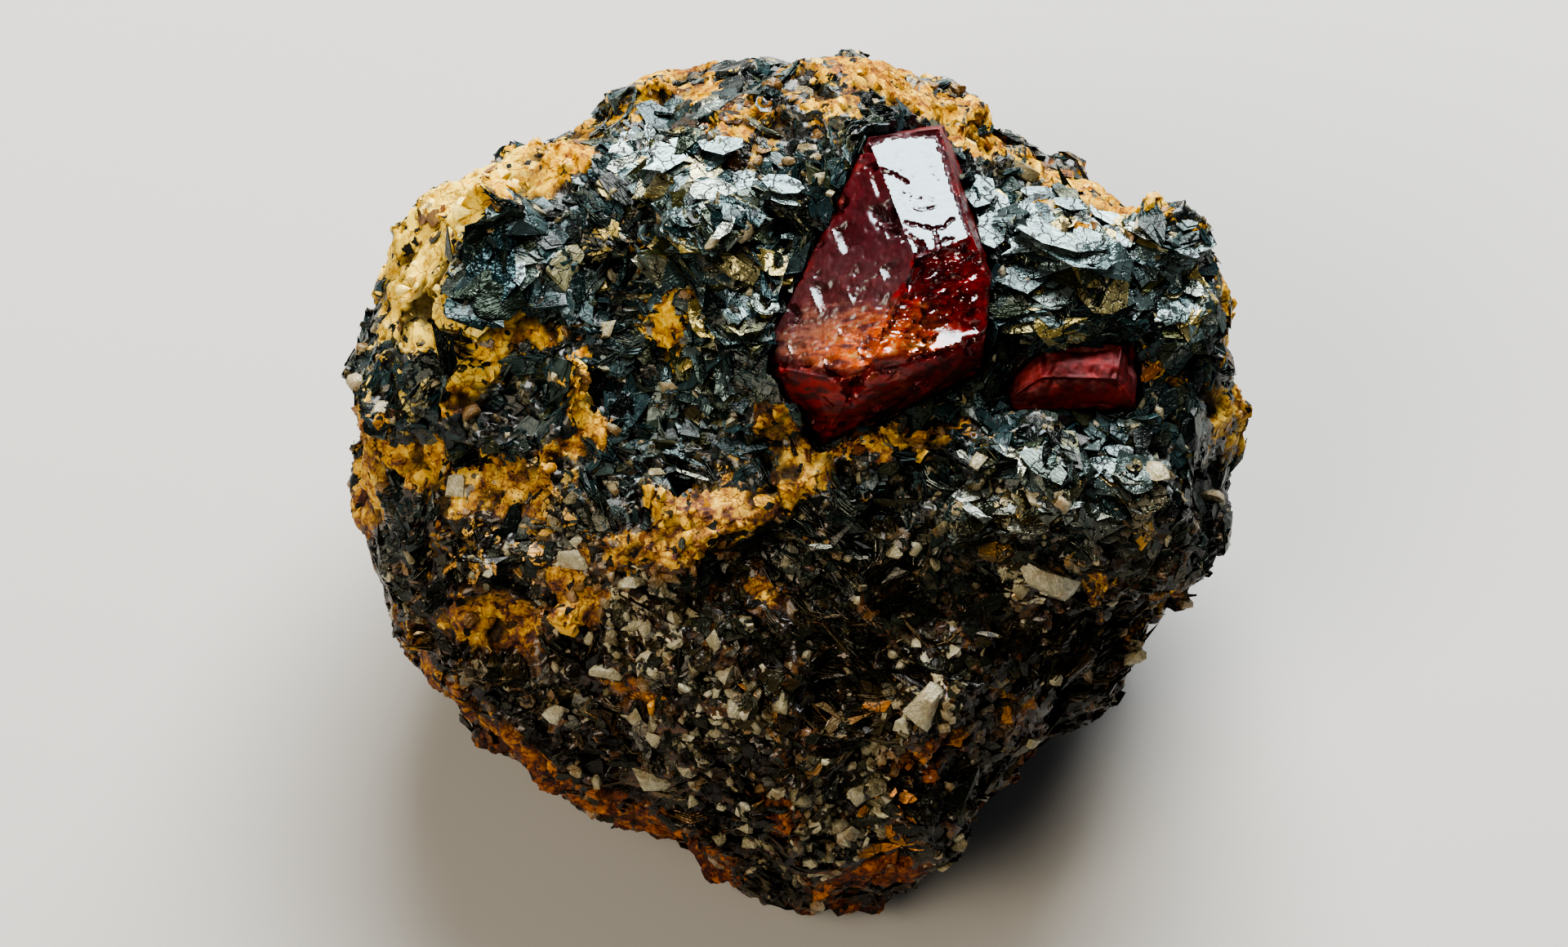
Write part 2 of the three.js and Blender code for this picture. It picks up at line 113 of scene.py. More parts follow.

# %% [markdown]
# ## Where the minerals are
#
# A rock like this isn't an even mixture. Rusty feldspar gathers in bands and crusts, pale grains
# sit in clusters, and in some places the mica grew in plates several millimetres wide. Each
# list below names such patches, as soft ellipses on the crystal face. The finer mixture
# comes later, from noise, which breaks up their edges.

# %% Patches of each mineral
# Each row: x, y, half-length, half-width, degrees turned, strength.
OCHRE_PATCHES = [
    (-21.2, 11.4, 4.0, 2.3, 74, 1.0),  # the crust down the upper left shoulder
    (-19.2, 14.4, 3.0, 2.2, 40, 1.0),
    (-14.6, 17.4, 4.8, 1.6, 24, 1.0),
    (-20.2, 8.2, 1.8, 1.4, 40, 0.9),
    (-6.6, 21.7, 2.8, 0.9, 14, 1.0),
    (-2.6, 19.0, 3.0, 1.7, 0, 0.62),  # the mixed crust along the top
    (-2.9, 18.4, 0.8, 1.6, 10, 0.9),
    (1.2, 20.6, 2.6, 1.4, 10, 0.66),
    (4.4, 22.4, 4.0, 1.7, -12, 1.0),
    (9.0, 20.4, 4.4, 2.0, -36, 1.0),
    (14.6, 16.6, 3.8, 1.0, -28, 0.8),
    (18.6, 14.8, 2.8, 1.0, -30, 0.9),
    (13.6, 14.9, 2.6, 0.6, -24, 0.8),
    (23.6, 9.6, 3.6, 0.9, 104, 0.9),  # the layer behind the right edge
    (24.9, 3.0, 3.8, 1.0, 94, 1.0),
    (19.6, 6.2, 1.8, 0.8, -10, 0.8),
    (22.8, 3.4, 2.4, 0.7, 96, 0.8),
    (-5.6, -2.2, 4.4, 1.7, 22, 1.0),  # the ledge that runs up to the large crystal
    (-1.6, -1.0, 2.0, 1.2, 20, 1.0),
    (0.6, 0.6, 2.4, 1.3, 34, 0.95),
    (5.0, 2.2, 4.2, 1.0, 12, 0.8),
    (-1.2, 3.0, 2.0, 1.0, 100, 0.85),
    (-17.6, 5.8, 2.6, 1.2, 76, 1.0),  # the ring round the dark pit
    (-15.6, 7.8, 3.0, 0.8, 8, 0.9),
    (-11.4, 5.0, 3.0, 1.0, 100, 1.0),
    (-12.8, 2.2, 1.9, 1.0, 14, 0.95),
    (-7.1, 8.4, 2.0, 1.1, 84, 1.0),
    (-7.9, 12.0, 2.2, 0.6, 112, 0.55),
    (-23.9, 0.6, 4.2, 1.0, 92, 1.0),  # the strip down the left edge
    (-21.0, 1.4, 2.6, 1.0, -20, 0.9),
    (-16.0, -0.2, 3.8, 1.5, 8, 0.7),
    (-20.0, -3.0, 1.8, 1.0, 66, 0.8),
    (-17.9, -7.2, 1.7, 1.5, 60, 1.0),
    (-15.4, -7.5, 1.8, 1.2, -20, 1.0),
    (-12.2, -6.0, 1.9, 1.2, -66, 1.0),
    (-19.6, -11.6, 4.0, 0.9, -60, 0.95),  # the rim round the lower left
    (-14.8, -15.9, 4.8, 1.1, -42, 1.0),
    (-8.2, -19.6, 4.2, 1.1, -26, 1.0),
    (-1.8, -17.2, 1.7, 0.8, -42, 0.9),
    (3.8, -21.4, 3.2, 0.9, 14, 0.95),
    (16.0, -5.6, 0.9, 1.2, 0, 0.95),
    (19.8, -7.3, 1.5, 1.0, 42, 0.95),
    (-1.0, -5.6, 2.4, 0.7, -50, 0.66),
    (-8.4, -11.4, 1.4, 0.7, -30, 0.75),
    (7.6, -14.6, 2.6, 0.8, 20, 0.62),
    (11.4, -11.8, 1.6, 0.8, -30, 0.6),
]
PALE_PATCHES = [
    (-8.6, -7.2, 2.6, 2.0, -50, 0.75),
    (-12.6, -4.6, 1.4, 0.9, 0, 0.85),
    (-18.8, -0.6, 1.4, 1.1, 0, 0.8),
    (-4.6, -12.8, 2.4, 1.6, 60, 0.6),
    (2.8, -17.6, 2.8, 1.8, 50, 1.0),
    (6.6, -10.8, 1.5, 1.6, 0, 0.9),
    (13.2, -5.6, 2.0, 0.8, -4, 1.0),
    (11.8, -0.6, 2.0, 0.9, -20, 0.66),
    (-2.4, 16.6, 3.0, 1.6, 6, 0.55),
    (14.6, 13.6, 3.8, 0.8, -16, 0.62),
    (-9.4, 12.4, 1.0, 2.6, 16, 0.6),
    (-14.2, 14.6, 1.5, 0.8, 0, 0.8),
]
PLATE_PATCHES = [
    (-6.4, 17.0, 3.0, 3.4, 30, 1.0),  # broad mica plates above the dark hollow
    (-4.0, 12.4, 3.0, 4.4, 10, 0.8),
    (13.6, 13.4, 4.6, 2.4, -14, 1.0),  # the right lobe
    (18.6, 11.0, 2.8, 2.0, -30, 0.85),
    (-16.2, 11.0, 2.0, 2.8, 0, 1.0),  # the knob on the left
    (16.0, 0.6, 3.6, 1.8, -10, 0.8),
    (11.4, -1.6, 3.6, 1.6, 10, 0.7),
    (-5.6, 6.0, 2.4, 3.6, 6, 0.6),
    (13.9, 9.3, 3.2, 1.5, 0, 0.75),  # below the right lobe
    (10.9, 10.6, 1.2, 2.6, 10, 0.7),
]
EDGE_ON_PATCHES = [
    (15.0, 8.0, 5.6, 2.6, -8, 1.0),  # sheets seen edge-on, as fine lines
    (-21.4, -6.0, 2.6, 6.0, 14, 0.9),
    (-18.6, 6.8, 1.4, 4.0, 24, 0.8),
    (3.6, -3.4, 7.0, 1.4, -10, 0.9),
    (2.4, -9.0, 1.6, 5.4, 4, 0.9),
    (15.6, -9.6, 5.0, 2.0, -20, 0.8),
    (-9.0, 9.6, 2.4, 5.4, 8, 0.7),
]
PATCHES = {"ochre": OCHRE_PATCHES, "pale": PALE_PATCHES, "plate": PLATE_PATCHES, "edge-on": EDGE_ON_PATCHES}
print("patches of each mineral:", {name: len(patches) for name, patches in PATCHES.items()})

# %% [markdown]
# A patch counts fully in its middle and fades over the outer part of its ellipse, where the noise
# can push its edge about. Where patches overlap, the strongest one counts.

# %% How strongly patches cover a place
PATCH_FADE = 1.6  # the fade begins at 0.6 of an ellipse's radius and ends at this many


def cover(places, patches):
    """How strongly a list of patches covers each place of the crystal face, from 0 to 1."""
    most = np.zeros(len(places))
    for x, y, half_length, half_width, turn, strength in patches:
        cos = math.cos(math.radians(turn))
        sin = math.sin(math.radians(turn))
        along = ((places[:, 0] - x) * cos + (places[:, 1] - y) * sin) / half_length
        aside = ((places[:, 1] - y) * cos - (places[:, 0] - x) * sin) / half_width
        most = np.maximum(most, strength * np.clip(PATCH_FADE - np.hypot(along, aside), 0, 1))
    return most


def smooth_step(values, low, high):
    """0 below low, 1 above high, and an easy curve between."""
    share = np.clip((values - low) / (high - low), 0, 1)
    return share * share * (3 - 2 * share)


def smooth_noise(places, size, shift=0.0):
    """Soft noise of a given width at each place, from about -1 to 1. A shift gives other noise."""
    moved = Vector((shift, 0, 0))
    return np.array([noise.fractal(Vector(place) / size + moved, 1.0, 2.0, 3) for place in places])


# %% [markdown]
# The patches only reach over the face that we can see. Round the sides and across the back the
# rock is mostly the rusty feldspar crust that shows past its edges, with islands of mica. One
# function therefore answers the question for any place on the whole rock.

# %% Shares of each mineral, all round
STRAY = 1.1  # how far noise pushes the edge of a patch, mm
STRAY_SIZE = 3.1  # width of that noise, mm
FRONT_FADE = (-1.0, 4.0)  # heights in the face frame between which the patches take over, mm
BACK_OCHRE = 0.42  # share of ochre on the sides and the back


def mineral_shares(places):
    """Ochre, pale, plate and edge-on shares at each place of the part, in millimetres."""
    seen = face_places(places)
    stray = np.stack([smooth_noise(places, STRAY_SIZE), smooth_noise(places, STRAY_SIZE, 40.0)], axis=1)
    flat = seen[:, :2] + STRAY * stray
    front = smooth_step(seen[:, 2] + 2.0 * smooth_noise(places, 6.0, 80.0), *FRONT_FADE)
    crust = np.clip(BACK_OCHRE + 0.8 * smooth_noise(places, 7.0, 120.0), 0, 1)
    ochre = front * cover(flat, OCHRE_PATCHES) + (1 - front) * crust
    pale = front * cover(flat, PALE_PATCHES)
    plate = front * cover(flat, PLATE_PATCHES)
    edge_on = front * cover(flat, EDGE_ON_PATCHES)
    return ochre, pale, plate, edge_on


face_middle = mineral_shares(np.array([CENTRE + part_direction((0, 0, 1)) * 8]))
print("shares in the middle of the face:", [round(float(share[0]), 2) for share in face_middle])

# %% [markdown]
# ## The crystals' flat faces
#
# Both the rock and the flakes have to know where the crystals are, so that nothing grows through
# them. A CAD mesh is loose triangles, so a copy of it is merged first. Dissolving the flat edges
# then leaves one polygon for each crystal face, and each polygon gives one plane.

# %% Merge a copy of a solid and read its planes
SAME_PLACE = 0.001  # corners nearer than this are one corner, mm
SAME_PLANE = math.radians(1.5)  # triangles that turn less than this lie in one crystal face


def merged_copy(node):
    """A bmesh of a CAD node with its loose triangles joined, in millimetres."""
    bm = bmesh.new()
    bm.from_mesh(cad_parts[node].data)
    bmesh.ops.scale(bm, vec=(1 / MM,) * 3, verts=bm.verts)
    bmesh.ops.remove_doubles(bm, verts=bm.verts, dist=SAME_PLACE)
    return bm


def crystal_planes(node):
    """The normals and distances of a crystal's flat faces."""
    bm = merged_copy(node)
    bmesh.ops.dissolve_limit(bm, angle_limit=SAME_PLANE, verts=bm.verts, edges=bm.edges)
    normals = np.array([face.normal for face in bm.faces])
    distances = np.array([face.normal.dot(face.verts[0].co) for face in bm.faces])
    bm.free()
    return normals, distances


planes = {node: crystal_planes(node) for node in ("large_zircon", "small_zircon")}


def depth_outside(places, node):
    """How far each place lies outside a crystal, in millimetres; inside it is negative."""
    normals, distances = planes[node]
    return (places @ normals.T - distances).max(axis=1)


def clear_of_crystals(places):
    """The distance from each place to the nearer crystal."""
    return np.minimum(depth_outside(places, "large_zircon"), depth_outside(places, "small_zircon"))


print("crystal faces:", {node: len(found[1]) for node, found in planes.items()})

# %% [markdown]
# ## The rock
#
# The rock's solid has the right lumps and hollows but a coarse skin. A voxel remesh wraps the
# same form in small even squares, which is what a sculptor would start from. Each point is then
# moved along its normal. Broken rock isn't smooth noise: it is flat little breaks, each with its
# own height and slope. Voronoi cells give just that, so two sizes of cell are laid over each
# other, with a groove between neighbours and some fine grit.

# %% Helpers that make objects
def new_object(name, mesh):
    piece = bpy.data.objects.new(name, mesh)
    bpy.context.scene.collection.objects.link(piece)
    return piece


def even_mesh(bm, voxel):
    """A closed bmesh, wrapped in even squares of a given size in millimetres."""
    mesh = bpy.data.meshes.new("even_squares")
    bm.to_mesh(mesh)
    bm.free()
    shell = new_object("even_squares", mesh)
    wrap = shell.modifiers.new("even squares", "REMESH")
    wrap.mode = "VOXEL"
    wrap.voxel_size = voxel
    wrapped = bpy.data.meshes.new_from_object(shell.evaluated_get(bpy.context.evaluated_depsgraph_get()))
    bpy.data.objects.remove(shell)
    return wrapped


def read_points(mesh, what="co"):
    """The mesh's points or normals, one row each."""
    rows = np.empty(len(mesh.vertices) * 3)
    source = mesh.vertices if what == "co" else mesh.vertex_normals
    source.foreach_get("co" if what == "co" else "vector", rows)
    return rows.reshape(-1, 3)


def paint(mesh, name, columns):
    """Stores up to four numbers at each point, as a colour attribute."""
    layer = mesh.attributes.new(name, "FLOAT_COLOR", "POINT")
    rows = np.ones((len(mesh.vertices), 4))
    for index, column in enumerate(columns):
        rows[:, index] = column
    layer.data.foreach_set("color", rows.ravel())


# %% Heights of the broken surface
LARGE_BREAK = {"size": 2.7, "step": 0.42, "tilt": 0.34}
SMALL_BREAK = {"size": 1.05, "step": 0.26, "tilt": 0.42}
GROOVE = 0.2  # depth between two breaks
LARGE_GROOVE_RIM = 0.12  # how near the rim of a break its groove begins, as a share of its size
SMALL_GROOVE_RIM = 0.25
PIT_RIM = 0.3  # how far in from its rim a pit reaches its depth, as a share of its size
GRIT = 0.08
PIT_SHARE = 0.07  # share of the small breaks that are holes
PIT_DEPTH = 0.75
SINK = 0.24  # the whole skin starts this much lower, to stay inside the solid
TOP_OF_SKIN = -0.02  # no part of the skin moves out further than this
CELL_CORNER = Vector((0.5, 0.5, 0.5))  # keeps a cell's middle off the whole numbers of its noise


def broken_height(place, size, step, tilt):
    """The height of a broken cell's top at a place, its nearness to the rim, and its own number."""
    gaps, middles = noise.voronoi(place / size)
    own = noise.cell_vector(middles[0] + CELL_CORNER)
    lean = own * 2 - Vector((1, 1, 1))
    height = step * (own.z - 0.5) + tilt * (place - middles[0] * size).dot(lean)
    return height, gaps[1] - gaps[0], own.x


def rock_relief(place, ochre, plate):
    """How far the rock's skin moves out at a place, in millimetres; in a hollow it is negative."""
    large, large_rim, _ = broken_height(place, **LARGE_BREAK)
    small, small_rim, number = broken_height(place + Vector((31, 7, 3)), **SMALL_BREAK)
    soften = (1 - 0.55 * ochre) * (1 - 0.65 * min(1.0, plate))
    near_rims = max(0.0, 1 - small_rim / SMALL_GROOVE_RIM) + max(0.0, 1 - large_rim / LARGE_GROOVE_RIM)
    groove = GROOVE * near_rims
    grit = GRIT * noise.fractal(place * 1.9, 0.8, 2.1, 3)
    pit = PIT_DEPTH * min(1.0, small_rim / PIT_RIM) if number < PIT_SHARE else 0.0
    return soften * (large + small - groove - pit) + grit


# %% [markdown]
# The side with the crystals is looked at most, so it gets the finer squares. The rock is made as
# two closed halves that overlap a little. Near its cut each half dives under the other, so the
# two skins cross in one clean line inside the rubble, and never lie on top of each other.

# %% Break up the rock's surface
SEAM = -2.2  # height of the cut in the face frame, mm
OVERLAP = 0.5  # how far each half reaches past the cut, mm
DIVE = 0.5  # how deep its skin goes there, mm
ON_CUT = 0.02  # points this near to the plane of the cut lie on it, mm
FRONT_VOXEL = 0.268
BACK_VOXEL = 0.28


def half_of_rock(front, voxel):
    """The part of the solid on one side of the seam, in even squares, with one face over its cut."""
    bm = merged_copy("matrix")
    cut = SEAM - OVERLAP if front else SEAM + OVERLAP
    upright = part_direction((0, 0, 1))
    everything = bm.verts[:] + bm.edges[:] + bm.faces[:]
    sides = {"clear_inner": front, "clear_outer": not front}
    middle = face_to_part @ Vector((0, 0, cut))
    bmesh.ops.bisect_plane(bm, geom=everything, plane_co=middle, plane_no=upright, **sides)
    bmesh.ops.holes_fill(bm, edges=[edge for edge in bm.edges if edge.is_boundary], sides=0)
    bmesh.ops.triangulate(bm, faces=bm.faces)
    mesh = even_mesh(bm, voxel)
    bm = bmesh.new()
    bm.from_mesh(mesh)
    on_cut = {vert.index for vert in bm.verts if abs((vert.co - middle).dot(upright)) < ON_CUT}
    lid = [face for face in bm.faces if all(vert.index in on_cut for vert in face.verts)]
    bmesh.ops.dissolve_faces(bm, faces=lid, use_verts=True)
    bm.to_mesh(mesh)
    bm.free()
    return mesh


print("each half reaches", OVERLAP, "mm past the seam")

# %% Move its points
CRYSTAL_RING = (0.35, 1.6)  # the relief grows from 0 to full at these distances from a crystal, mm
FLOOR_RING = (0.02, 1.2)  # and at these heights above the floor, mm
EDGE_MARGIN = 0.02  # every point stays this far inside the solid box, mm
RELIEF_RANGE = 1.2  # heights over this range are painted as 0 to 1, mm


def inside_box(points):
    return np.clip(points, low_corner + EDGE_MARGIN, high_corner - EDGE_MARGIN)


def broken_half(front, voxel):
    """One half with its broken surface: the mesh, and its points, squares and shares."""
    mesh = half_of_rock(front, voxel)
    points = read_points(mesh)
    shares = mineral_shares(points)
    ochre, pale, plate, _ = shares
    relief = np.array([rock_relief(Vector(p), o, l) for p, o, l in zip(points, ochre, plate)])
    off_crystals = smooth_step(clear_of_crystals(points), *CRYSTAL_RING)
    on_floor = 1 - smooth_step(points[:, 2], *FLOOR_RING)
    above_seam = face_places(points)[:, 2] - SEAM
    dive = DIVE * np.clip((-above_seam if front else above_seam) / OVERLAP, 0, 1)
    push = np.minimum(relief - SINK, TOP_OF_SKIN) * off_crystals * (1 - on_floor)
    push = push - dive * (points[:, 2] > 0.05)
    points = inside_box(points + read_points(mesh, "normal") * push[:, None])
    points[:, 2] = np.where(on_floor > 0.999, 0.0, points[:, 2])
    mesh.vertices.foreach_set("co", points.ravel())
    mesh.update()
    paint(mesh, "shares", [ochre, pale, plate])
    paint(mesh, "form", [np.clip(0.5 + relief / RELIEF_RANGE, 0, 1)])
    corners = np.empty(len(mesh.loops), dtype=np.int32)
    mesh.loops.foreach_get("vertex_index", corners)
    starts = np.array([face.loop_start for face in mesh.polygons if face.loop_total == 4])
    squares = corners[starts[:, None] + np.arange(4)]
    triangles = len(corners) - 2 * len(mesh.polygons)
    print("front" if front else "back", "half:", len(points), "points,", triangles, "triangles")
    return mesh, points, squares, shares


front_half = broken_half(True, FRONT_VOXEL)
back_half = broken_half(False, BACK_VOXEL)

# %% [markdown]
# The mesh so far is in millimetres. `settle` turns a finished mesh into metres and makes its
# object, which stays at the origin, unturned and unscaled.

# %% Make the rock's object
def settle(name, mesh, smooth):
    """A finished mesh in millimetres becomes an object in metres."""
    mesh.transform(Matrix.Scale(MM, 4))
    mesh.name = name
    mesh.polygons.foreach_set("use_smooth", [smooth] * len(mesh.polygons))
    mesh.update()
    return new_object(name, mesh)


rock_halves = {
    "matrix_front": settle("matrix_front", front_half[0], smooth=True),
    "matrix_back": settle("matrix_back", back_half[0], smooth=True),
}

# %% [markdown]
# ## Writing materials as sums
#
# Node graphs get hard to read when every sum is three lines of Python. A small class wraps an
# output socket, so that `1 - mask` or `place * 3` adds the Math node itself. One method adds any
# other node: first its settings, then the values or links of its sockets.

# %% A small language for materials
class Wire:
    """An output socket. Python's signs on it add Math nodes, or Vector Math for vectors."""

    def __init__(self, finish, socket):
        self.finish = finish
        self.socket = socket

    def join(self, operation, first, second):
        if self.socket.type in ("VECTOR", "RGBA"):
            if operation == "MULTIPLY" and not isinstance(second, (Wire, tuple)):
                return self.finish.add("ShaderNodeVectorMath", {"operation": "SCALE"}, {0: first, 3: second})
            return self.finish.add("ShaderNodeVectorMath", {"operation": operation}, {0: first, 1: second})
        return self.finish.add("ShaderNodeMath", {"operation": operation}, {0: first, 1: second})

    def __add__(self, other):
        return self.join("ADD", self, other)

    def __radd__(self, other):
        return self.join("ADD", self, other)

    def __sub__(self, other):
        return self.join("SUBTRACT", self, other)

    def __rsub__(self, other):
        return self.join("SUBTRACT", other, self)

    def __mul__(self, other):
        return self.join("MULTIPLY", self, other)

    def __rmul__(self, other):
        return self.join("MULTIPLY", self, other)


CENTRED = (-0.5, -0.5, -0.5)  # moves three numbers from 0..1 to -0.5..0.5
ACROSS, UP, OUT = 0, 1, 2  # the three numbers of a place in the face frame

# %% [markdown]
# The other class is one material in the making. Its methods are the few kinds of node that all
# the finishes here share: places, noise, cells and cracks, blends, and the one shader.

# %% One material in the making
class Finish:
    """One material in the making."""

    def __init__(self, name):
        self.material = bpy.data.materials.new(name)
        self.material.use_nodes = True
        self.tree = self.material.node_tree
        self.tree.nodes.clear()

    def feed(self, socket, value):
        if isinstance(value, Wire):
            self.tree.links.new(value.socket, socket)
        else:
            socket.default_value = value

    def add(self, kind, settings=None, sockets=None, out=0):
        """Adds a node of a kind: its settings, then its sockets, and gives one output."""
        node = self.tree.nodes.new(kind)
        for name, value in (settings or {}).items():
            if name == "stops":
                self.set_stops(node.color_ramp, value)
            else:
                setattr(node, name, value)
        for key, value in (sockets or {}).items():
            self.feed(node.inputs[key], value)
        return Wire(self, node.outputs[out])

    def set_stops(self, ramp, stops):
        while len(ramp.elements) < len(stops):
            ramp.elements.new(1.0)
        for element, (position, colour) in zip(ramp.elements, stops):
            element.position = position
            element.color = (*colour, 1.0)

    def face_place(self):
        """The place on the surface in the face frame, in millimetres."""
        sockets = {
            "Vector": self.add("ShaderNodeTexCoord", out="Object"),
            "Location": CENTRE * MM,
            "Rotation": (FACE_LEAN, 0, 0),
            "Scale": (MM, MM, MM),
        }
        return self.add("ShaderNodeMapping", {"vector_type": "TEXTURE"}, sockets)

    def part_of(self, place, axis):
        """One number of a place in the face frame: ACROSS, UP or OUT."""
        return self.add("ShaderNodeSeparateXYZ", {}, {0: place}, axis)

    def noise(self, place, scale, detail=3.0, roughness=0.55, out="Fac"):
        sockets = {"Vector": place, "Scale": scale, "Detail": detail, "Roughness": roughness}
        return self.add("ShaderNodeTexNoise", {}, sockets, out)

    def wander(self, place, scale, detail, roughness, far):
        """A small move in any direction, which changes softly from place to place."""
        return (self.noise(place, scale, detail, roughness, "Color") + CENTRED) * far

    def cells(self, place, scale):
        """Cells with one random colour each."""
        return self.add("ShaderNodeTexVoronoi", {}, {"Vector": place, "Scale": scale}, "Color")

    def between_cracks(self, place, scale, width):
        """0 in the cracks between cells, rising to 1 beside them."""
        sockets = {"Vector": place, "Scale": scale}
        rim = self.add("ShaderNodeTexVoronoi", {"feature": "DISTANCE_TO_EDGE"}, sockets)
        return self.rise(rim, 0.0, width)

    def ramp(self, stops, value):
        """The colour that a row of stops has at a value."""
        return self.add("ShaderNodeValToRGB", {"stops": stops}, {0: value})

    def split(self, colour):
        """The three numbers that a colour is made of."""
        node = self.tree.nodes.new("ShaderNodeSeparateColor")
        self.feed(node.inputs[0], colour)
        return [Wire(self, socket) for socket in node.outputs]

    def blend(self, share, first, second):
        """One colour turning into another."""
        settings = {"data_type": "RGBA", "clamp_factor": True}
        return self.add("ShaderNodeMix", settings, {0: share, 6: first, 7: second}, 2)

    def rise(self, value, low, high, first=0.0, last=1.0):
        """A number that goes from first to last while value goes from low to high."""
        sockets = {"Value": value, "From Min": low, "From Max": high, "To Min": first, "To Max": last}
        return self.add("ShaderNodeMapRange", {"interpolation_type": "SMOOTHSTEP"}, sockets)

    def painted(self, name):
        return self.add("ShaderNodeAttribute", {"attribute_name": name}, out="Color")

    def leaned_normal(self, lean):
        """The surface's normal, pushed aside by a vector and made one long again."""
        normal = self.add("ShaderNodeNewGeometry", out="Normal")
        return self.add("ShaderNodeVectorMath", {"operation": "NORMALIZE"}, {0: normal + lean})

    def bump(self, height, distance, normal=None):
        sockets = {"Height": height, "Distance": distance * MM, "Strength": 1.0}
        if normal:
            sockets["Normal"] = normal
        return self.add("ShaderNodeBump", {}, sockets)

    def surface(self, volume=None, **sockets):
        """The one shader of the material. Underscores in the names stand for spaces."""
        spaced = {name.replace("_", " "): value for name, value in sockets.items()}
        shader = self.add("ShaderNodeBsdfPrincipled", {}, spaced)
        output = self.tree.nodes.new("ShaderNodeOutputMaterial")
        self.feed(output.inputs["Surface"], shader)
        if volume:
            self.feed(output.inputs["Volume"], volume)
        print(self.material.name, "finish:", len(self.tree.nodes), "nodes")
        return self.material


# %% [markdown]
# ## The rock's finish
#
# Seen close, the rock is a mosaic of crisp grains: green-black and blue-black mica, rusty
# feldspar, and pale glassy grains. Voronoi cells give each grain one colour and one slope. The
# painted shares decide how likely each mineral is at a place, and the grain's own random number
# decides which one it is. That keeps the edges crisp however soft the patches are. Each mineral
# has a ramp of tones, from its darkest to its brightest.

# %% Tones of the three minerals
OCHRE_STOPS = [
    (0.0, (0.07, 0.018, 0.003)),
    (0.22, (0.27, 0.095, 0.008)),
    (0.45, (0.55, 0.29, 0.022)),
    (0.72, (0.78, 0.5, 0.08)),
    (1.0, (0.95, 0.76, 0.24)),
]
MICA_STOPS = [
    (0.0, (0.003, 0.004, 0.003)),
    (0.3, (0.008, 0.012, 0.009)),
    (0.5, (0.014, 0.026, 0.03)),
    (0.68, (0.04, 0.025, 0.006)),
    (0.84, (0.1, 0.09, 0.03)),
    (1.0, (0.14, 0.18, 0.18)),
]
PALE_STOPS = [
    (0.0, (0.14, 0.12, 0.06)),
    (0.35, (0.42, 0.37, 0.22)),
    (0.7, (0.7, 0.66, 0.48)),
    (1.0, (0.88, 0.86, 0.74)),
]


print("tones of ochre, mica and pale grains:", len(OCHRE_STOPS), len(MICA_STOPS), len(PALE_STOPS))

# %% [markdown]
# Feldspar isn't the same yellow all over. It is palest on the left shoulder, golden along the top,
# and turns burnt orange and then rusty red towards the foot. These functions answer with a number
# or a colour for any place, and both the rock and its loose grains use them.

# %% How the feldspar changes over the rock
PALER_SHOULDER = 0.46  # how far up its ramp the feldspar of the left shoulder moves
DARKER_SIDES = -0.24  # and that of the sides and the back
RUST_TINT = (0.68, 0.4, 0.32)
# The next two tints are painted light and shade: golden at the top, where the light is strongest, and greyer
# below the middle, where it is dim.
GOLDEN_TINT = (0.95, 0.88, 0.6)  # of the feldspar at the top of the face
DIM_LIGHT_GREY = (0.006, 0.018, 0.036)  # added to the feldspar below the middle
CRACK_TINT = (0.4, 0.3, 0.2)
SPECK = (0.012, 0.012, 0.009, 1.0)


def warmer_up_the_face(finish, place):
    """How far the feldspar moves up or down its ramp at a place."""
    across = finish.part_of(place, ACROSS)
    up = finish.part_of(place, UP)
    out = finish.part_of(place, OUT)
    shoulder = finish.rise(across, -12.0, -19.0, 0.0, PALER_SHOULDER) * finish.rise(up, 3.0, 8.0)
    return finish.rise(up, -10.0, 8.0, -0.2, 0.06) + shoulder + finish.rise(out, 3.0, -5.0, 0.0, DARKER_SIDES)


def rusty_at_the_foot(finish, place):
    """1 at the foot of the face, where the feldspar is stained red with rust, falling to 0 above."""
    return finish.rise(finish.part_of(place, UP) + finish.noise(place, 0.3, 2.0) * 6.0, -4.0, -14.0)


def broken_grain(finish, place, colour):
    """Feldspar with thin dark cracks, and here and there a speck of mica."""
    wander = finish.wander(place, 1.4, 3.0, 0.6, 0.9)
    whole = finish.between_cracks(place + wander, 0.75, 0.045)
    colour = finish.blend(whole, colour * CRACK_TINT, colour)
    speck = finish.rise(finish.split(finish.cells(place + wander * 0.8, 2.4))[0], 0.94, 0.95)
    return finish.blend(speck, colour, SPECK)


# %% Finish of the broken rock
# Painted warm shade: the next two turn the rock's mica browner and darker below the middle of the face.
WARM_SHADE_TINT = (1.2, 0.55, 0.25)  # of the mica below the middle of the face
WARM_SHADE_ADDED = (0.006, 0.0018, 0.0004)
# painted shade: the near-black that the rock's colour turns to in its hollows
HOLLOW_SHADE = (0.006, 0.004, 0.003, 1.0)
GLOSSY_MICA = 0.2  # roughness of the mica in the rock
DULL_CRUST = 0.75  # and of its feldspar and pale grains


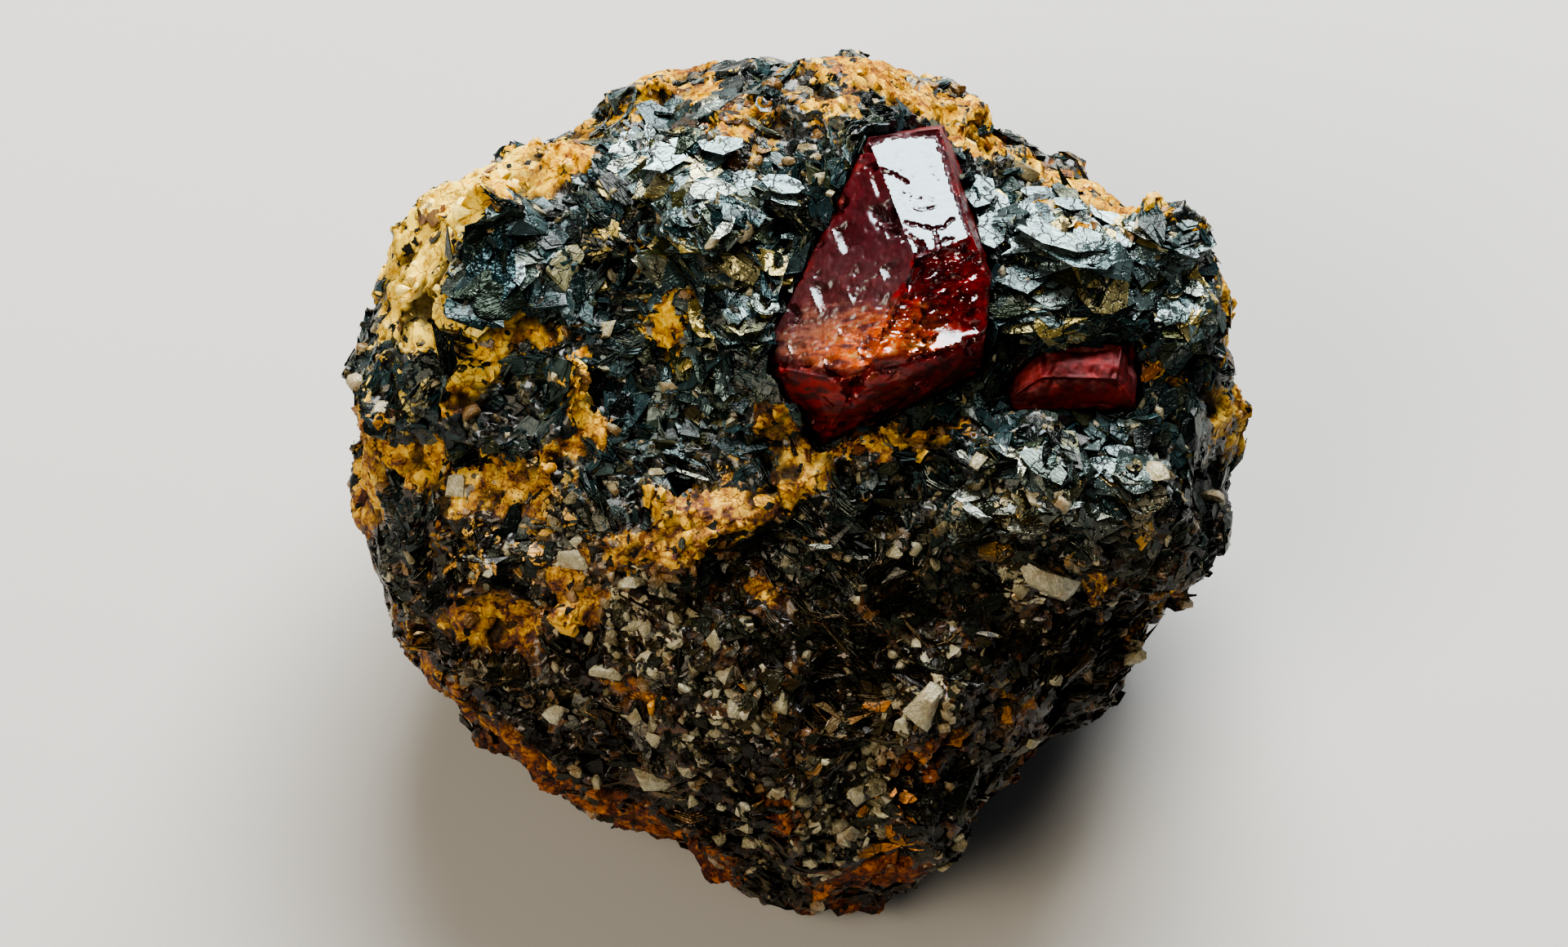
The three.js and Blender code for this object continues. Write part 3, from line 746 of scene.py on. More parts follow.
def rock_finish():
    """Mica, ochre and pale grains side by side, each cell of grain with its own colour and slope."""
    stone = Finish("broken_rock")
    place = stone.face_place()
    ochre_share, pale_share, plate_share = stone.split(stone.painted("shares"))
    raised = stone.split(stone.painted("form"))[0]
    up = stone.part_of(place, UP)
    strayed = place + stone.wander(place, 0.9, 4.0, 0.65, 1.3)
    grain_cells = stone.cells(strayed, 1.45)
    speck_cells = stone.cells(strayed, 3.3)
    broad = stone.split(stone.cells(strayed, 0.62))
    grain = stone.split(grain_cells)
    speck = stone.split(speck_cells)
    mottle = stone.noise(place, 1.7, 5.0, 0.7)

    ochre_score = ochre_share + (broad[0] - 0.5) * 0.5 + (grain[0] - 0.5) * 0.45 + (speck[0] - 0.5) * 0.2
    is_ochre = stone.rise(ochre_score, 0.47, 0.53)
    pale_score = pale_share * 0.35 + grain[1] * 0.62 + speck[1] * 0.2
    is_pale = stone.rise(pale_score, 0.84, 0.88)

    ochre_tone = mottle * 1.9 - 0.46 + (grain[2] - 0.5) * 0.35 + (speck[2] - 0.5) * 0.2
    ochre_tone = ochre_tone + (broad[2] - 0.5) * 0.25 + warmer_up_the_face(stone, place)
    ochre = stone.ramp(OCHRE_STOPS, ochre_tone)
    # Painted light and shade: more golden towards the top, where the light is strongest, and greyer below the
    # middle, where it is dim.
    ochre = stone.blend(stone.rise(up, 9.0, -1.0), ochre * GOLDEN_TINT, ochre + DIM_LIGHT_GREY)
    ochre = stone.blend(rusty_at_the_foot(stone, place), ochre, ochre * RUST_TINT)
    ochre = broken_grain(stone, place, ochre)
    mica_tone = grain[2] * 0.7 + speck[2] * 0.35 + (mottle - 0.5) * 0.4
    mica = stone.ramp(MICA_STOPS, mica_tone)
    # Painted warm shade below the middle of the face.
    mica = stone.blend(stone.rise(up, 4.0, -8.0), mica, mica * WARM_SHADE_TINT + WARM_SHADE_ADDED)
    pale = stone.ramp(PALE_STOPS, mottle * 0.8 + (speck[0] - 0.3) * 0.5)
    colour = stone.blend(is_pale, mica, pale)
    colour = stone.blend(is_ochre, colour, ochre)
    # Painted shade: the lower a place lies in the relief, the more its colour turns to the near-black of the
    # hollows.
    unshaded = stone.rise(raised, 0.1, 0.5, 0.12, 1.0)
    colour = stone.blend(1 - unshaded, colour, HOLLOW_SHADE)

    not_mica = 1 - (1 - is_ochre) * (1 - is_pale)
    rough = stone.rise(not_mica, 0.0, 1.0, GLOSSY_MICA, DULL_CRUST) + (speck[1] - 0.5) * 0.16
    grit = stone.noise(place, 6.0, 4.0, 0.7)
    lean = ((grain_cells + CENTRED) * 0.5 + (speck_cells + CENTRED) * 0.42) * (1 - plate_share * 0.7)
    normal = stone.bump(grit, 0.05, stone.leaned_normal(lean))
    return stone.surface(
        Base_Color=colour,
        Roughness=rough,
        Normal=normal,
        IOR=1.45,
        Coat_Weight=stone.rise(not_mica, 0.0, 1.0, 0.5, 0.04),
        Coat_Roughness=0.12,
    )


rock_material = rock_finish()
for half in rock_halves.values():
    half.data.materials.append(rock_material)

# %% [markdown]
# ## Shapes that are used many times
#
# Mica grows in sheets with a ragged six-sided rim, stacked like the pages of a book. One ragged
# sheet is a flat cone with as many sides as the rim has corners: the two caps keep the same
# radius, and each corner is then pulled in or out. A few of these shapes, each with only a few
# dozen faces, are enough, because every copy gets its own size, turn and lean.

# %% A handful of mica shapes
def sheet_of_mica(bm, draw, sides, thickness, lift, longest):
    """Adds one ragged sheet of about radius 1 to a bmesh."""
    made = bmesh.ops.create_cone(bm, cap_ends=True, segments=sides, radius1=1, radius2=1, depth=thickness)
    reach = [draw.uniform(0.78, 1.08) for _ in range(sides)]
    length = draw.uniform(1.0, longest)
    shift = (draw.uniform(-0.16, 0.16), draw.uniform(-0.16, 0.16))
    top = max((face for face in bm.faces if face.verts[0] in made["verts"]), key=lambda face: face.normal.z)
    middle = bmesh.ops.poke(bm, faces=[top])["verts"]
    for vert in made["verts"] + middle:
        corner = round(math.atan2(vert.co.x, vert.co.y) / math.tau * sides) % sides
        vert.co.x = vert.co.x * reach[corner] * length + shift[0]
        vert.co.y = vert.co.y * reach[corner] + shift[1]
        vert.co.z += lift


def mica_shape(seed, sheets, thickness, spacing, bend, longest=1.5, cuts=0, corners=(6, 7, 8)):
    """One or more sheets in a stack, a little bent, as points and triangles."""
    draw = random.Random(seed)
    bm = bmesh.new()
    for sheet in range(sheets):
        sheet_of_mica(bm, draw, draw.choice(corners), thickness, sheet * spacing, longest)
    if cuts:
        bmesh.ops.subdivide_edges(bm, edges=bm.edges, cuts=cuts, use_grid_fill=True)
    for vert in bm.verts:
        vert.co.z += bend * vert.co.x ** 2 - spacing * (sheets - 1) / 2
    return as_arrays(bm)


def as_arrays(bm):
    """Ends a bmesh and gives its points and triangles as arrays."""
    bmesh.ops.triangulate(bm, faces=bm.faces)
    bmesh.ops.recalc_face_normals(bm, faces=bm.faces)
    bm.verts.index_update()
    points = np.array([vert.co for vert in bm.verts])
    triangles = np.array([[vert.index for vert in face.verts] for face in bm.faces])
    bm.free()
    return points, triangles


def scale_shape(seed):
    """A small thick flake with few corners."""
    return mica_shape(80 + seed, 1, 0.14, 0.0, 0.12 * (seed % 2), 1.6, corners=(5, 6))


scale_shapes = [scale_shape(seed) for seed in range(7)]
plate_shapes = [mica_shape(seed, 1, 0.12, 0.0, 0.1 * (seed % 3)) for seed in range(9)]
stack_shapes = [mica_shape(20 + seed, 2, 0.14, 0.13, 0.1 * (seed % 2)) for seed in range(4)]
book_shapes = [mica_shape(40 + seed, 4, 0.07, 0.16, 0.12 + 0.1 * (seed % 3), 1.9) for seed in range(5)]
drape_shapes = [mica_shape(70 + seed, 1, 0.05, 0.0, 0.0, 1.6, cuts=1) for seed in range(5)]
wisp_shapes = [mica_shape(50 + seed, 1, 0.06, 0.0, 0.16 + 0.08 * seed, 2.6) for seed in range(3)]
for kind, shapes in (("plate", plate_shapes), ("stack", stack_shapes), ("book", book_shapes)):
    print("triangles in a", kind + ":", len(shapes[0][1]))

# %% [markdown]
# Feldspar and quartz break into chunky grains instead. A convex hull round a few scattered points
# gives flat facets that meet at sharp edges, as on a real grain.

# %% Chunky grains
GRAIN_CORNERS = 16


def grain_shape(seed, flatness):
    """The hull of a few points near a ball, with its corners pulled in here and there."""
    draw = random.Random(seed)
    bm = bmesh.new()
    for _ in range(GRAIN_CORNERS):
        spot = Vector([draw.gauss(0, 1) for _ in range(3)]).normalized() * draw.uniform(0.8, 1.05)
        bm.verts.new((spot.x, spot.y * draw.uniform(0.8, 1.0), spot.z * flatness))
    bmesh.ops.convex_hull(bm, input=bm.verts)
    bmesh.ops.delete(bm, geom=[vert for vert in bm.verts if not vert.link_faces], context="VERTS")
    print("grain", seed, "has", len(bm.faces), "faces")
    return as_arrays(bm)


grain_shapes = [grain_shape(60 + seed, 0.75 + 0.06 * (seed % 4)) for seed in range(6)]

# %% [markdown]
# ## Sowing the pieces
#
# The copies are sown over the rock's skin: a square of the skin is drawn by lot, with better odds
# where its weight is higher, and the copy lands somewhere in it. Every draw comes from a numbered
# generator, so the rock comes out the same each time. All copies of a kind are joined in one
# mesh, and each copy carries a few numbers of its own for the finish to read.

# %% The skin that pieces are sown on
NEVER_ZERO = 1e-9  # keeps a row that is all zeros from being divided by its length


def each_long_one(rows):
    """The same directions, each one long."""
    return rows / np.linalg.norm(rows, axis=1, keepdims=True)


rock_points = np.concatenate([front_half[1], back_half[1]])
rock_squares = np.concatenate([front_half[2], back_half[2] + len(front_half[1])])
is_front = np.arange(len(rock_squares)) < len(front_half[2])
own_side = (face_places(rock_points[rock_squares[:, 0]])[:, 2] > SEAM) == is_front
rock_squares = rock_squares[own_side]
skin_corners = rock_points[rock_squares]
across_square = np.cross(skin_corners[:, 2] - skin_corners[:, 0], skin_corners[:, 3] - skin_corners[:, 1])
skin_area = np.linalg.norm(across_square, axis=1) / 2
skin_normals = each_long_one(across_square + NEVER_ZERO)
skin_shares = [np.concatenate(pair)[rock_squares[:, 0]] for pair in zip(front_half[3], back_half[3])]
skin_middles = skin_corners.mean(axis=1)
skin_seen = face_places(skin_middles)
skin_front = smooth_step(skin_seen[:, 2], -2.0, 3.0)
print("skin:", len(rock_squares), "squares,", round(skin_area.sum()), "square mm")

# %% Sow places and turn pieces
SPOT_REACH = 0.6  # how far round a named spot the skin is searched, mm


def sow(draw, count, weight):
    """Random places on the skin, and the number of the square that each one lies in."""
    odds = skin_area * weight
    squares = draw.choice(len(odds), size=count, p=odds / odds.sum())
    across, along = draw.random((2, count, 1))
    near, right, far, left = skin_corners[squares].transpose(1, 0, 2)
    near_edge = near * (1 - across) + right * across
    far_edge = left * (1 - across) + far * across
    return near_edge * (1 - along) + far_edge * along, squares


def standing_on(tops, long_ways):
    """Turns whose z axis is each top direction, and whose x axis is as near as can be to each long way."""
    side = each_long_one(np.cross(tops, long_ways))
    return np.stack([np.cross(side, tops), side, tops], axis=2)


def way_across(degrees):
    """The direction in the crystal face that is turned by an angle from straight across."""
    angle = math.radians(degrees)
    return part_direction((math.cos(angle), math.sin(angle), 0))


def skin_point(x, y):
    """The frontmost place of the skin at a spot of the crystal face, and the skin's normal there."""
    near = np.hypot(skin_seen[:, 0] - x, skin_seen[:, 1] - y) < SPOT_REACH
    best = np.flatnonzero(near)[np.argmax(skin_seen[near, 2])]
    return skin_middles[best], skin_normals[best]


# %% [markdown]
# A copy that is laid with a lean can stick out of the rock, or past the plain solid that it
# belongs to. So every point of every copy is pressed down until it stands no higher than it may
# over the broken skin, and hardly at all over the solid. A thin sheet then drapes by itself.

# %% Press the copies down
skin_tree = BVHTree.FromPolygons(rock_points.tolist(), rock_squares.tolist())
solid_copy = merged_copy("matrix")
solid_tree = BVHTree.FromBMesh(solid_copy)
solid_copy.free()
PROUD = -0.08  # how high a flake at the rock's outline may reach over the plain solid, mm
PROUD_IN_FRONT = 0.22  # how much more a flake may stand up where the solid faces the viewer
TALL = 0.35  # what may stand this far above the skin may also stand further above the solid


def pressed_down(points, most):
    """Points that stand further than allowed above the skin come down to that height."""
    for index, (point, limit) in enumerate(zip(points, most)):
        point = Vector(point)
        for tree in (skin_tree, solid_tree):
            foot, normal, _, _ = tree.find_nearest(point)
            height = (point - foot).dot(normal)
            allowed = limit
            if tree is solid_tree:
                allowed = max(PROUD + PROUD_IN_FRONT * max(0.0, normal.dot(view_back)), limit - TALL)
            if height > allowed:
                point = foot + normal * allowed
        points[index] = point
    return points


print("pressed down onto", len(rock_squares), "squares of skin")

# %% Join the copies
CREASE = math.radians(32)  # edges sharper than this stay crisp
GRAIN_SHIFT = 40  # moves each copy's fine grain, so that no two copies look alike


def joined(name, shapes, kinds, places, turns, sizes, numbers, most, crease=CREASE):
    """
    All copies in one object. Each copy has its kind of shape, place, turn, three sizes, three
    numbers of its own for the finish, and the most that it may stand above the skin.
    """
    points, triangles, columns, grains, limits = [], [], [], [], []
    start = 0
    for kind, (shape_points, shape_triangles) in enumerate(shapes):
        chosen = np.flatnonzero(kinds == kind)
        if len(chosen) == 0:
            continue
        scaled = shape_points[None] * sizes[chosen][:, None]
        placed = np.einsum("cij,cpj->cpi", turns[chosen], scaled) + places[chosen][:, None]
        grains.append((scaled + GRAIN_SHIFT * numbers[chosen][:, None]).reshape(-1, 3))
        count = len(shape_points)
        offsets = start + count * np.arange(len(chosen))
        points.append(placed.reshape(-1, 3))
        triangles.append((shape_triangles[None] + offsets[:, None, None]).reshape(-1, 3))
        columns.append(np.repeat(numbers[chosen], count, axis=0))
        limits.append(np.repeat(most[chosen], count))
        start += count * len(chosen)
    lists = (points, triangles, columns, grains, limits)
    points, triangles, columns, grains, limits = map(np.concatenate, lists)
    points = inside_box(pressed_down(points, limits))
    mesh = bpy.data.meshes.new(name)
    mesh.vertices.add(len(points))
    mesh.vertices.foreach_set("co", points.ravel())
    mesh.loops.add(triangles.size)
    mesh.loops.foreach_set("vertex_index", triangles.ravel().astype(np.int32))
    mesh.polygons.add(len(triangles))
    mesh.polygons.foreach_set("loop_start", np.arange(0, triangles.size, 3, dtype=np.int32))
    mesh.update(calc_edges=True)
    paint(mesh, "own", columns.T)
    paint(mesh, "along", grains.T)
    print(name + ":", len(kinds), "copies,", len(triangles), "triangles")
    piece = settle(name, mesh, smooth=True)
    mesh.set_sharp_from_angle(angle=crease)
    return piece


# %% [markdown]
# ## Which way the mica leans
#
# Neighbouring flakes don't lie at random. They share a direction over a few millimetres, where one
# larger crystal broke, and then the next patch leans another way. Voronoi cells are such patches
# again: all flakes whose place falls in one cell take its lean. In the plate patches the flakes
# lie flatter and face the halfway direction, so they flash together as one broken mirror.

# %% Golden flakes, big grains and the knob
GOLDEN_PATCHES = [  # where small golden flakes glitter
    (-15.2, -2.0, 3.9, 2.6, 10, 1.0),
    (4.6, -18.8, 1.6, 2.6, 0, 0.9),
    (-10.4, 11.6, 2.2, 0.8, 60, 0.7),
    (-20.6, 4.6, 1.2, 2.0, 0, 0.6),
    (12.2, -0.8, 1.6, 1.4, 0, 0.5),
]
BIG_GRAINS = [  # x, y, half-length, half-width, degrees turned
    (19.1, 0.1, 0.8, 0.76, 0),
    (22.4, -0.6, 0.85, 0.8, 20),
    (13.3, -5.6, 2.1, 1.0, -12),
    (6.6, -10.8, 1.2, 1.5, 10),
    (-13.3, -13.1, 0.9, 0.75, -20),
    (-8.3, -16.5, 1.1, 1.0, 30),
    (-8.6, -5.9, 1.0, 0.8, 30),
    (-7.4, -7.4, 0.8, 0.55, 70),
    (-9.4, -7.6, 0.7, 0.45, 10),
    (-8.8, -9.0, 0.8, 0.5, 0),
    (-6.2, -8.4, 0.5, 0.45, 0),
    (-6.4, -11.6, 0.6, 0.9, 20),
    (-10.6, -10.6, 0.9, 0.5, -10),
    (-2.9, 12.8, 0.75, 0.6, 20),
    (-13.9, 14.4, 0.7, 0.6, 0),
    (0.2, 21.4, 0.7, 0.6, 30),
    (-7.2, 4.5, 0.9, 0.55, 10),
    (12.0, -0.6, 0.8, 0.7, 0),
    (-12.6, -4.6, 1.1, 0.8, 0),
    (-18.9, -0.5, 1.0, 0.8, 20),
    (-0.2, 18.0, 0.8, 0.7, 0),
    (-4.4, 16.8, 1.1, 0.7, 10),
    (-7.8, 14.2, 0.7, 1.2, 30),
    (12.4, 16.8, 0.9, 0.8, 0),
    (11.2, 11.4, 0.5, 0.5, 0),
    (8.4, -9.2, 0.5, 0.5, 0),
    (17.6, -9.8, 0.7, 0.5, 0),
    (10.2, -5.2, 0.45, 0.45, 0),
    (3.0, -17.0, 0.5, 0.7, 30),
    (-22.9, 4.2, 0.6, 1.1, 0),
]


KNOB = (-16.2, 11.0, 1.9, 2.9, 0, 1.0)  # the smooth glassy lump on the left


def room_for_grains(seen):
    """0 where a big grain sits, rising to 1 just outside it."""
    room = np.ones(len(seen))
    for x, y, half_length, half_width, _ in BIG_GRAINS:
        reach = 0.5 * (half_length + half_width)
        room *= smooth_step(np.hypot(seen[:, 0] - x, seen[:, 1] - y), 0.75 * reach, 1.15 * reach)
    return room


on_knob = cover(skin_seen[:, :2], [KNOB])
print("big grains:", len(BIG_GRAINS))

# %% Lean of the flakes
PATCH_SIZE = 2.7  # width of a patch of mica that leans one way, mm
PATCH_LEAN = 0.5  # how strongly a patch leans its own way, next to its skin's 1
PATCH_TO_LIGHT = 1.3  # how strongly a bright patch turns towards the halfway direction
BRIGHT_PATCHES = 0.72  # a patch whose own number is above this is bright


def patch_middles(places, size):
    """The middle of the patch in which each place lies, in units of the patch size."""
    return np.array([noise.voronoi(Vector(place) / size)[1][0][:] for place in places])


def own_vectors(middles, shift=0.5):
    """A random direction for each patch."""
    corner = Vector((shift, shift, shift))
    return np.array([noise.cell_vector(Vector(middle) + corner) for middle in middles]) * 2 - 1


rounded_middles = patch_middles(skin_middles, PATCH_SIZE).round(3)
middles, skin_patches = np.unique(rounded_middles, axis=0, return_inverse=True)
skin_patches = skin_patches.ravel()
patch_sums = np.zeros((len(middles), 3))
np.add.at(patch_sums, skin_patches, across_square)
patch_own = own_vectors(middles)
turned_to_light = smooth_step(patch_own[:, 0], BRIGHT_PATCHES, BRIGHT_PATCHES + 0.1)[:, None]
patch_skins = each_long_one(patch_sums + NEVER_ZERO)
patch_tops = patch_skins + PATCH_LEAN * patch_own + PATCH_TO_LIGHT * turned_to_light * np.array(glint)
patch_ways = own_vectors(middles, 7.5)
print("patches of mica:", len(middles))

# %% [markdown]
# A flake takes most of its lean from its patch and a little from the skin under it. It is laid a
# little deeper where it leans more, smaller close to the crystals, and rustier in the ochre. Close
# to a crystal it also stands up, so that the crystals look grown in and not set in a dish.

# %% Lay the flakes
GOLDEN_LEVEL = 0.4  # a flake is golden where its patch's strength times a random share is above this
PLATES_TO_LIGHT = 0.9  # how strongly flakes of the plate patches turn towards the halfway direction
GOLDEN_TO_LIGHT = 0.7
SMALL_OFTEN = 2.3  # the higher, the more of the flakes are small
ROOM_AT_CRYSTAL = 0.35  # the largest flake that touches a crystal, mm
CLEAR_OF_CRYSTAL = 0.02  # flakes whose middle is nearer than this are left out, mm


def lay_flakes(draw, count, weight, least, most):
    """Places, turns and sizes for flakes on the skin. The flakes of one patch lie nearly parallel."""
    places, squares = sow(draw, count, weight)
    patches = skin_patches[squares]
    skins = skin_normals[squares]
    ochre, _, plate, _ = (share[squares] for share in skin_shares)
    flat = np.clip(plate * 1.2, 0, 1)[:, None]
    golden = cover(face_places(places)[:, :2], GOLDEN_PATCHES) * draw.random(count) > GOLDEN_LEVEL
    to_light = (PLATES_TO_LIGHT * flat + GOLDEN_TO_LIGHT * golden[:, None]) * np.array(glint)
    tops = 0.8 * patch_tops[patches] + 0.3 * skins + draw.normal(0, 0.1, (count, 3)) + to_light
    tops = each_long_one(tops)
    turns = standing_on(tops, patch_ways[patches] + draw.normal(0, 0.35, (count, 3)))
    radius = least + (most - least) * draw.random(count) ** SMALL_OFTEN
    radius *= (1 + 0.6 * flat[:, 0] * draw.random(count)) * (1 - 0.45 * np.clip(ochre, 0, 1))
    steep = 1 - (tops * skins).sum(axis=1)
    clear = clear_of_crystals(places)
    radius = np.minimum(radius, ROOM_AT_CRYSTAL + 0.8 * np.clip(clear, 0, 3))
    sink = draw.uniform(-0.12, 0.1, count) - 0.4 * radius * steep
    places = places + skins * sink[:, None]
    long = radius * draw.uniform(0.9, 1.35, count)
    wide = radius * draw.uniform(0.65, 0.95, count)
    sizes = np.stack([long, wide, radius * draw.uniform(0.6, 1.2, count)], axis=1)
    rust = np.clip(ochre * 1.3 - 0.15, 0, 1) * draw.random(count)
    own = np.clip(0.55 * draw.random(count) + 0.45 * (patch_own[patches, 1] * 0.5 + 0.5), 0, 1)
    own = np.where(golden, draw.uniform(0.9, 1.0, count), own)
    numbers = np.stack([own, rust, np.clip(plate, 0, 1) * 0.5 + 0.5 * draw.random(count)], axis=1)
    near_rim = 1 - smooth_step(clear, 0.2, 0.8)
    stand = draw.uniform(0.06, 0.3, count) + 0.3 * flat[:, 0] + 0.65 * near_rim
    places = places + skins * (0.3 * near_rim * draw.random(count))[:, None]
    keep = clear > CLEAR_OF_CRYSTAL
    return [rows[keep] for rows in (places, turns, sizes, numbers, stand)]


# %% Sow the flakes
FRONT_FLAKES = 7400  # on the upper half of the crystal face, and as many on the lower half
BACK_FLAKES = 6200
SMALL_FLAKE = 0.38  # flakes smaller than this have simpler outlines, mm
ochre_skin, pale_skin, plate_skin, edge_on_skin = skin_shares
mica_weight = np.clip(1.15 - 1.7 * ochre_skin - 0.5 * pale_skin, 0.05, 1)
mica_weight *= room_for_grains(skin_seen) * (1 - 0.88 * np.clip(plate_skin, 0, 1))
mica_weight *= 1 - 0.93 * on_knob
mica_weight *= 1 + 1.5 * (1 - smooth_step(clear_of_crystals(skin_middles), 0.4, 1.4))
upper_half = skin_seen[:, 1] > 2.0
flake_shapes = plate_shapes + stack_shapes
rock_parts = []
for name, count, weight, least, most in (
    ("mica_upper", FRONT_FLAKES, mica_weight * skin_front * upper_half, 0.2, 1.0),
    ("mica_lower", FRONT_FLAKES, mica_weight * skin_front * ~upper_half, 0.13, 0.68),
    ("mica_back", BACK_FLAKES, mica_weight * (1 - skin_front), 0.2, 1.1),
):
    draw = np.random.default_rng(len(rock_parts) + 5)
    flakes = lay_flakes(draw, count, weight, least, most)
    small = flakes[2].mean(axis=1) < SMALL_FLAKE
    kinds = draw.integers(0, len(flake_shapes), len(small))
    kinds = np.where(small, len(flake_shapes) + kinds % len(scale_shapes), kinds)
    rock_parts.append(joined(name, flake_shapes + scale_shapes, kinds, *flakes))

# %% [markdown]
# Where a mica book is broken across, its sheets show as fine bright lines side by side. These
# books lie with their sheets along the line of sight: the direction of the stack is in the plane
# of the crystal face, and one patch shares it.

# %% Books of mica seen edge-on
BOOKS = 2100
BOOK_PATCH = 4.5  # width of a patch whose books lie alike, mm
BOOK_ANGLE = 1.9  # how far the stacks are turned from straight across, radians
BOOK_CLEAR = 0.25  # books nearer to a crystal than this are left out, mm
draw = np.random.default_rng(31)
book_weight = skin_front * (edge_on_skin ** 2 + 0.12) * np.clip(1 - 1.3 * ochre_skin, 0, 1)
places, squares = sow(draw, BOOKS, book_weight)
patch_turn = own_vectors(patch_middles(places, BOOK_PATCH))[:, 0]
angle = BOOK_ANGLE + 1.1 * patch_turn + draw.normal(0, 0.16, BOOKS)
tops = np.stack([np.cos(angle), np.sin(angle), draw.normal(0.2, 0.14, BOOKS)], axis=1)
long_ways = np.stack([-np.sin(angle), np.cos(angle), draw.normal(0, 0.15, BOOKS)], axis=1)
to_part_turn = np.array(face_to_part.to_3x3())
turns = standing_on(each_long_one(tops @ to_part_turn.T), long_ways @ to_part_turn.T)
radius = draw.uniform(0.35, 0.95, BOOKS)
sizes = np.stack([radius, radius * 0.5, radius * draw.uniform(0.6, 1.1, BOOKS)], axis=1)
places = places - skin_normals[squares] * (0.2 * radius)[:, None]
numbers = draw.random((BOOKS, 3)) * (0.9, 0.12, 1.0)
keep = clear_of_crystals(places) > BOOK_CLEAR
side_shapes = book_shapes[:3] + wisp_shapes
kinds = draw.integers(0, len(side_shapes), BOOKS)
stand = draw.uniform(0.1, 0.35, BOOKS)
books = [rows[keep] for rows in (kinds, places, turns, sizes, numbers, stand)]
rock_parts.append(joined("mica_books", side_shapes, *books))

# %% [markdown]
# Where the plates are broad they drape over the rock like wet paper. These sheets have a few more
# points, so that pressing them down onto the skin bends them. They lean most of the way towards
# the halfway direction, so that a whole slope of them turns silvery.

# %% Draped sheets
SHEETS = 820
LEAST_SHEET = 0.5  # radius of the smallest sheet, mm
SHEET_RANGE = 1.2  # and how much larger the largest is
SHEET_TO_LIGHT = 0.85
SHEET_TO_SKIN = 0.3
draw = np.random.default_rng(77)
sheet_weight = (1 - on_knob) * skin_front * plate_skin ** 2 * np.clip(1 - 1.4 * ochre_skin, 0, 1)
places, squares = sow(draw, SHEETS, sheet_weight)
patches = skin_patches[squares]
lean = patch_own[patches] * 0.16 + draw.normal(0, 0.07, (SHEETS, 3))
tops = each_long_one(patch_skins[patches] * SHEET_TO_SKIN + lean + SHEET_TO_LIGHT * np.array(glint))
turns = standing_on(tops, patch_ways[patches] + draw.normal(0, 0.3, (SHEETS, 3)))
radius = LEAST_SHEET + SHEET_RANGE * draw.random(SHEETS) ** 1.6
sizes = np.stack([radius, radius * draw.uniform(0.6, 0.95, SHEETS), radius], axis=1)
tone = draw.uniform(0.6, 0.95, SHEETS)
rust = 0.1 * draw.random(SHEETS)
numbers = np.stack([tone, rust, draw.uniform(0.6, 1, SHEETS)], axis=1)
keep = (clear_of_crystals(places) > 0.5 * radius) & (room_for_grains(face_places(places)) > 0.6)
kinds = draw.integers(0, len(drape_shapes), SHEETS)
stand = draw.uniform(0.25, 0.55, SHEETS)
sheets = [rows[keep] for rows in (kinds, places, turns, sizes, numbers, stand)]
print("sheets:", len(sheets[0]))

# %% [markdown]
# The largest plates are laid one by one. Bright ones look exactly along the halfway direction, but
# for a small wobble. Dark ones build the smooth glassy lump on the left: they are darker, and face
# out of the rock more than towards the light.

# %% Plates laid one by one
BRIGHT_PLATES = [  # x, y, half-length, half-width, degrees turned
    (-15.0, 11.4, 1.5, 0.45, 88),
    (-7.2, 17.6, 1.5, 1.1, 40),
    (-5.2, 15.6, 1.3, 0.8, 20),
    (-0.8, 16.2, 1.1, 0.7, -15),
    (-9.6, 18.2, 1.2, 0.6, 20),
    (12.1, 12.2, 1.5, 0.8, -15),
    (9.8, 15.8, 0.8, 1.2, 10),
    (10.1, 13.8, 0.7, 1.2, 5),
    (13.2, 15.8, 1.2, 0.6, -20),
    (18.4, 12.7, 1.1, 0.6, -30),
    (15.7, 11.9, 1.3, 0.7, -20),
    (20.9, 10.8, 0.8, 0.6, -50),
    (14.8, 14.9, 0.9, 0.5, -15),
    (-3.9, 17.5, 1.1, 0.75, 10),
    (-1.5, 15.1, 1.2, 0.5, -14),
    (-4.5, 13.2, 0.8, 0.4, 62),
    (-0.6, 13.4, 0.5, 0.25, 20),
    (11.6, 13.6, 0.75, 0.9, 70),
    (13.8, 13.4, 2.2, 1.3, -12),
    (16.0, 12.4, 1.9, 1.2, -24),
    (12.2, 14.4, 1.6, 1.1, -12),
    (11.7, 11.9, 1.2, 1.5, 10),
    (13.0, 12.4, 1.7, 1.1, -10),
    (14.4, 12.6, 1.6, 1.0, -20),
    (14.8, 11.6, 1.6, 0.9, 0),
    (12.3, 13.4, 1.4, 1.0, 30),
    (12.6, 11.4, 1.4, 0.8, 10),
    (17.0, 12.9, 0.8, 0.5, -30),
    (20.4, 12.0, 0.9, 0.4, -40),
    (11.6, 0.9, 0.9, 0.3, 75),
    (15.6, 1.4, 1.4, 0.5, -20),
    (17.2, 1.9, 0.7, 0.5, 10),
    (14.4, -1.2, 1.2, 0.3, 10),
    (9.2, -1.8, 1.0, 0.3, -50),
    (-6.3, 0.9, 1.1, 0.16, -24),
    (-6.1, 0.6, 1.0, 0.14, -26),
    (-6.4, 0.2, 0.8, 0.14, -22),
    (5.4, -6.4, 0.55, 0.25, 10),
    (5.5, -6.8, 0.5, 0.2, 14),
    (4.0, -13.4, 0.8, 0.16, 4),
    (4.2, -13.7, 0.7, 0.14, 6),
    (10.0, -7.6, 0.7, 0.16, -14),
    (1.2, -3.8, 0.6, 0.22, 4),
    (3.2, -3.9, 0.9, 0.14, -10),
]
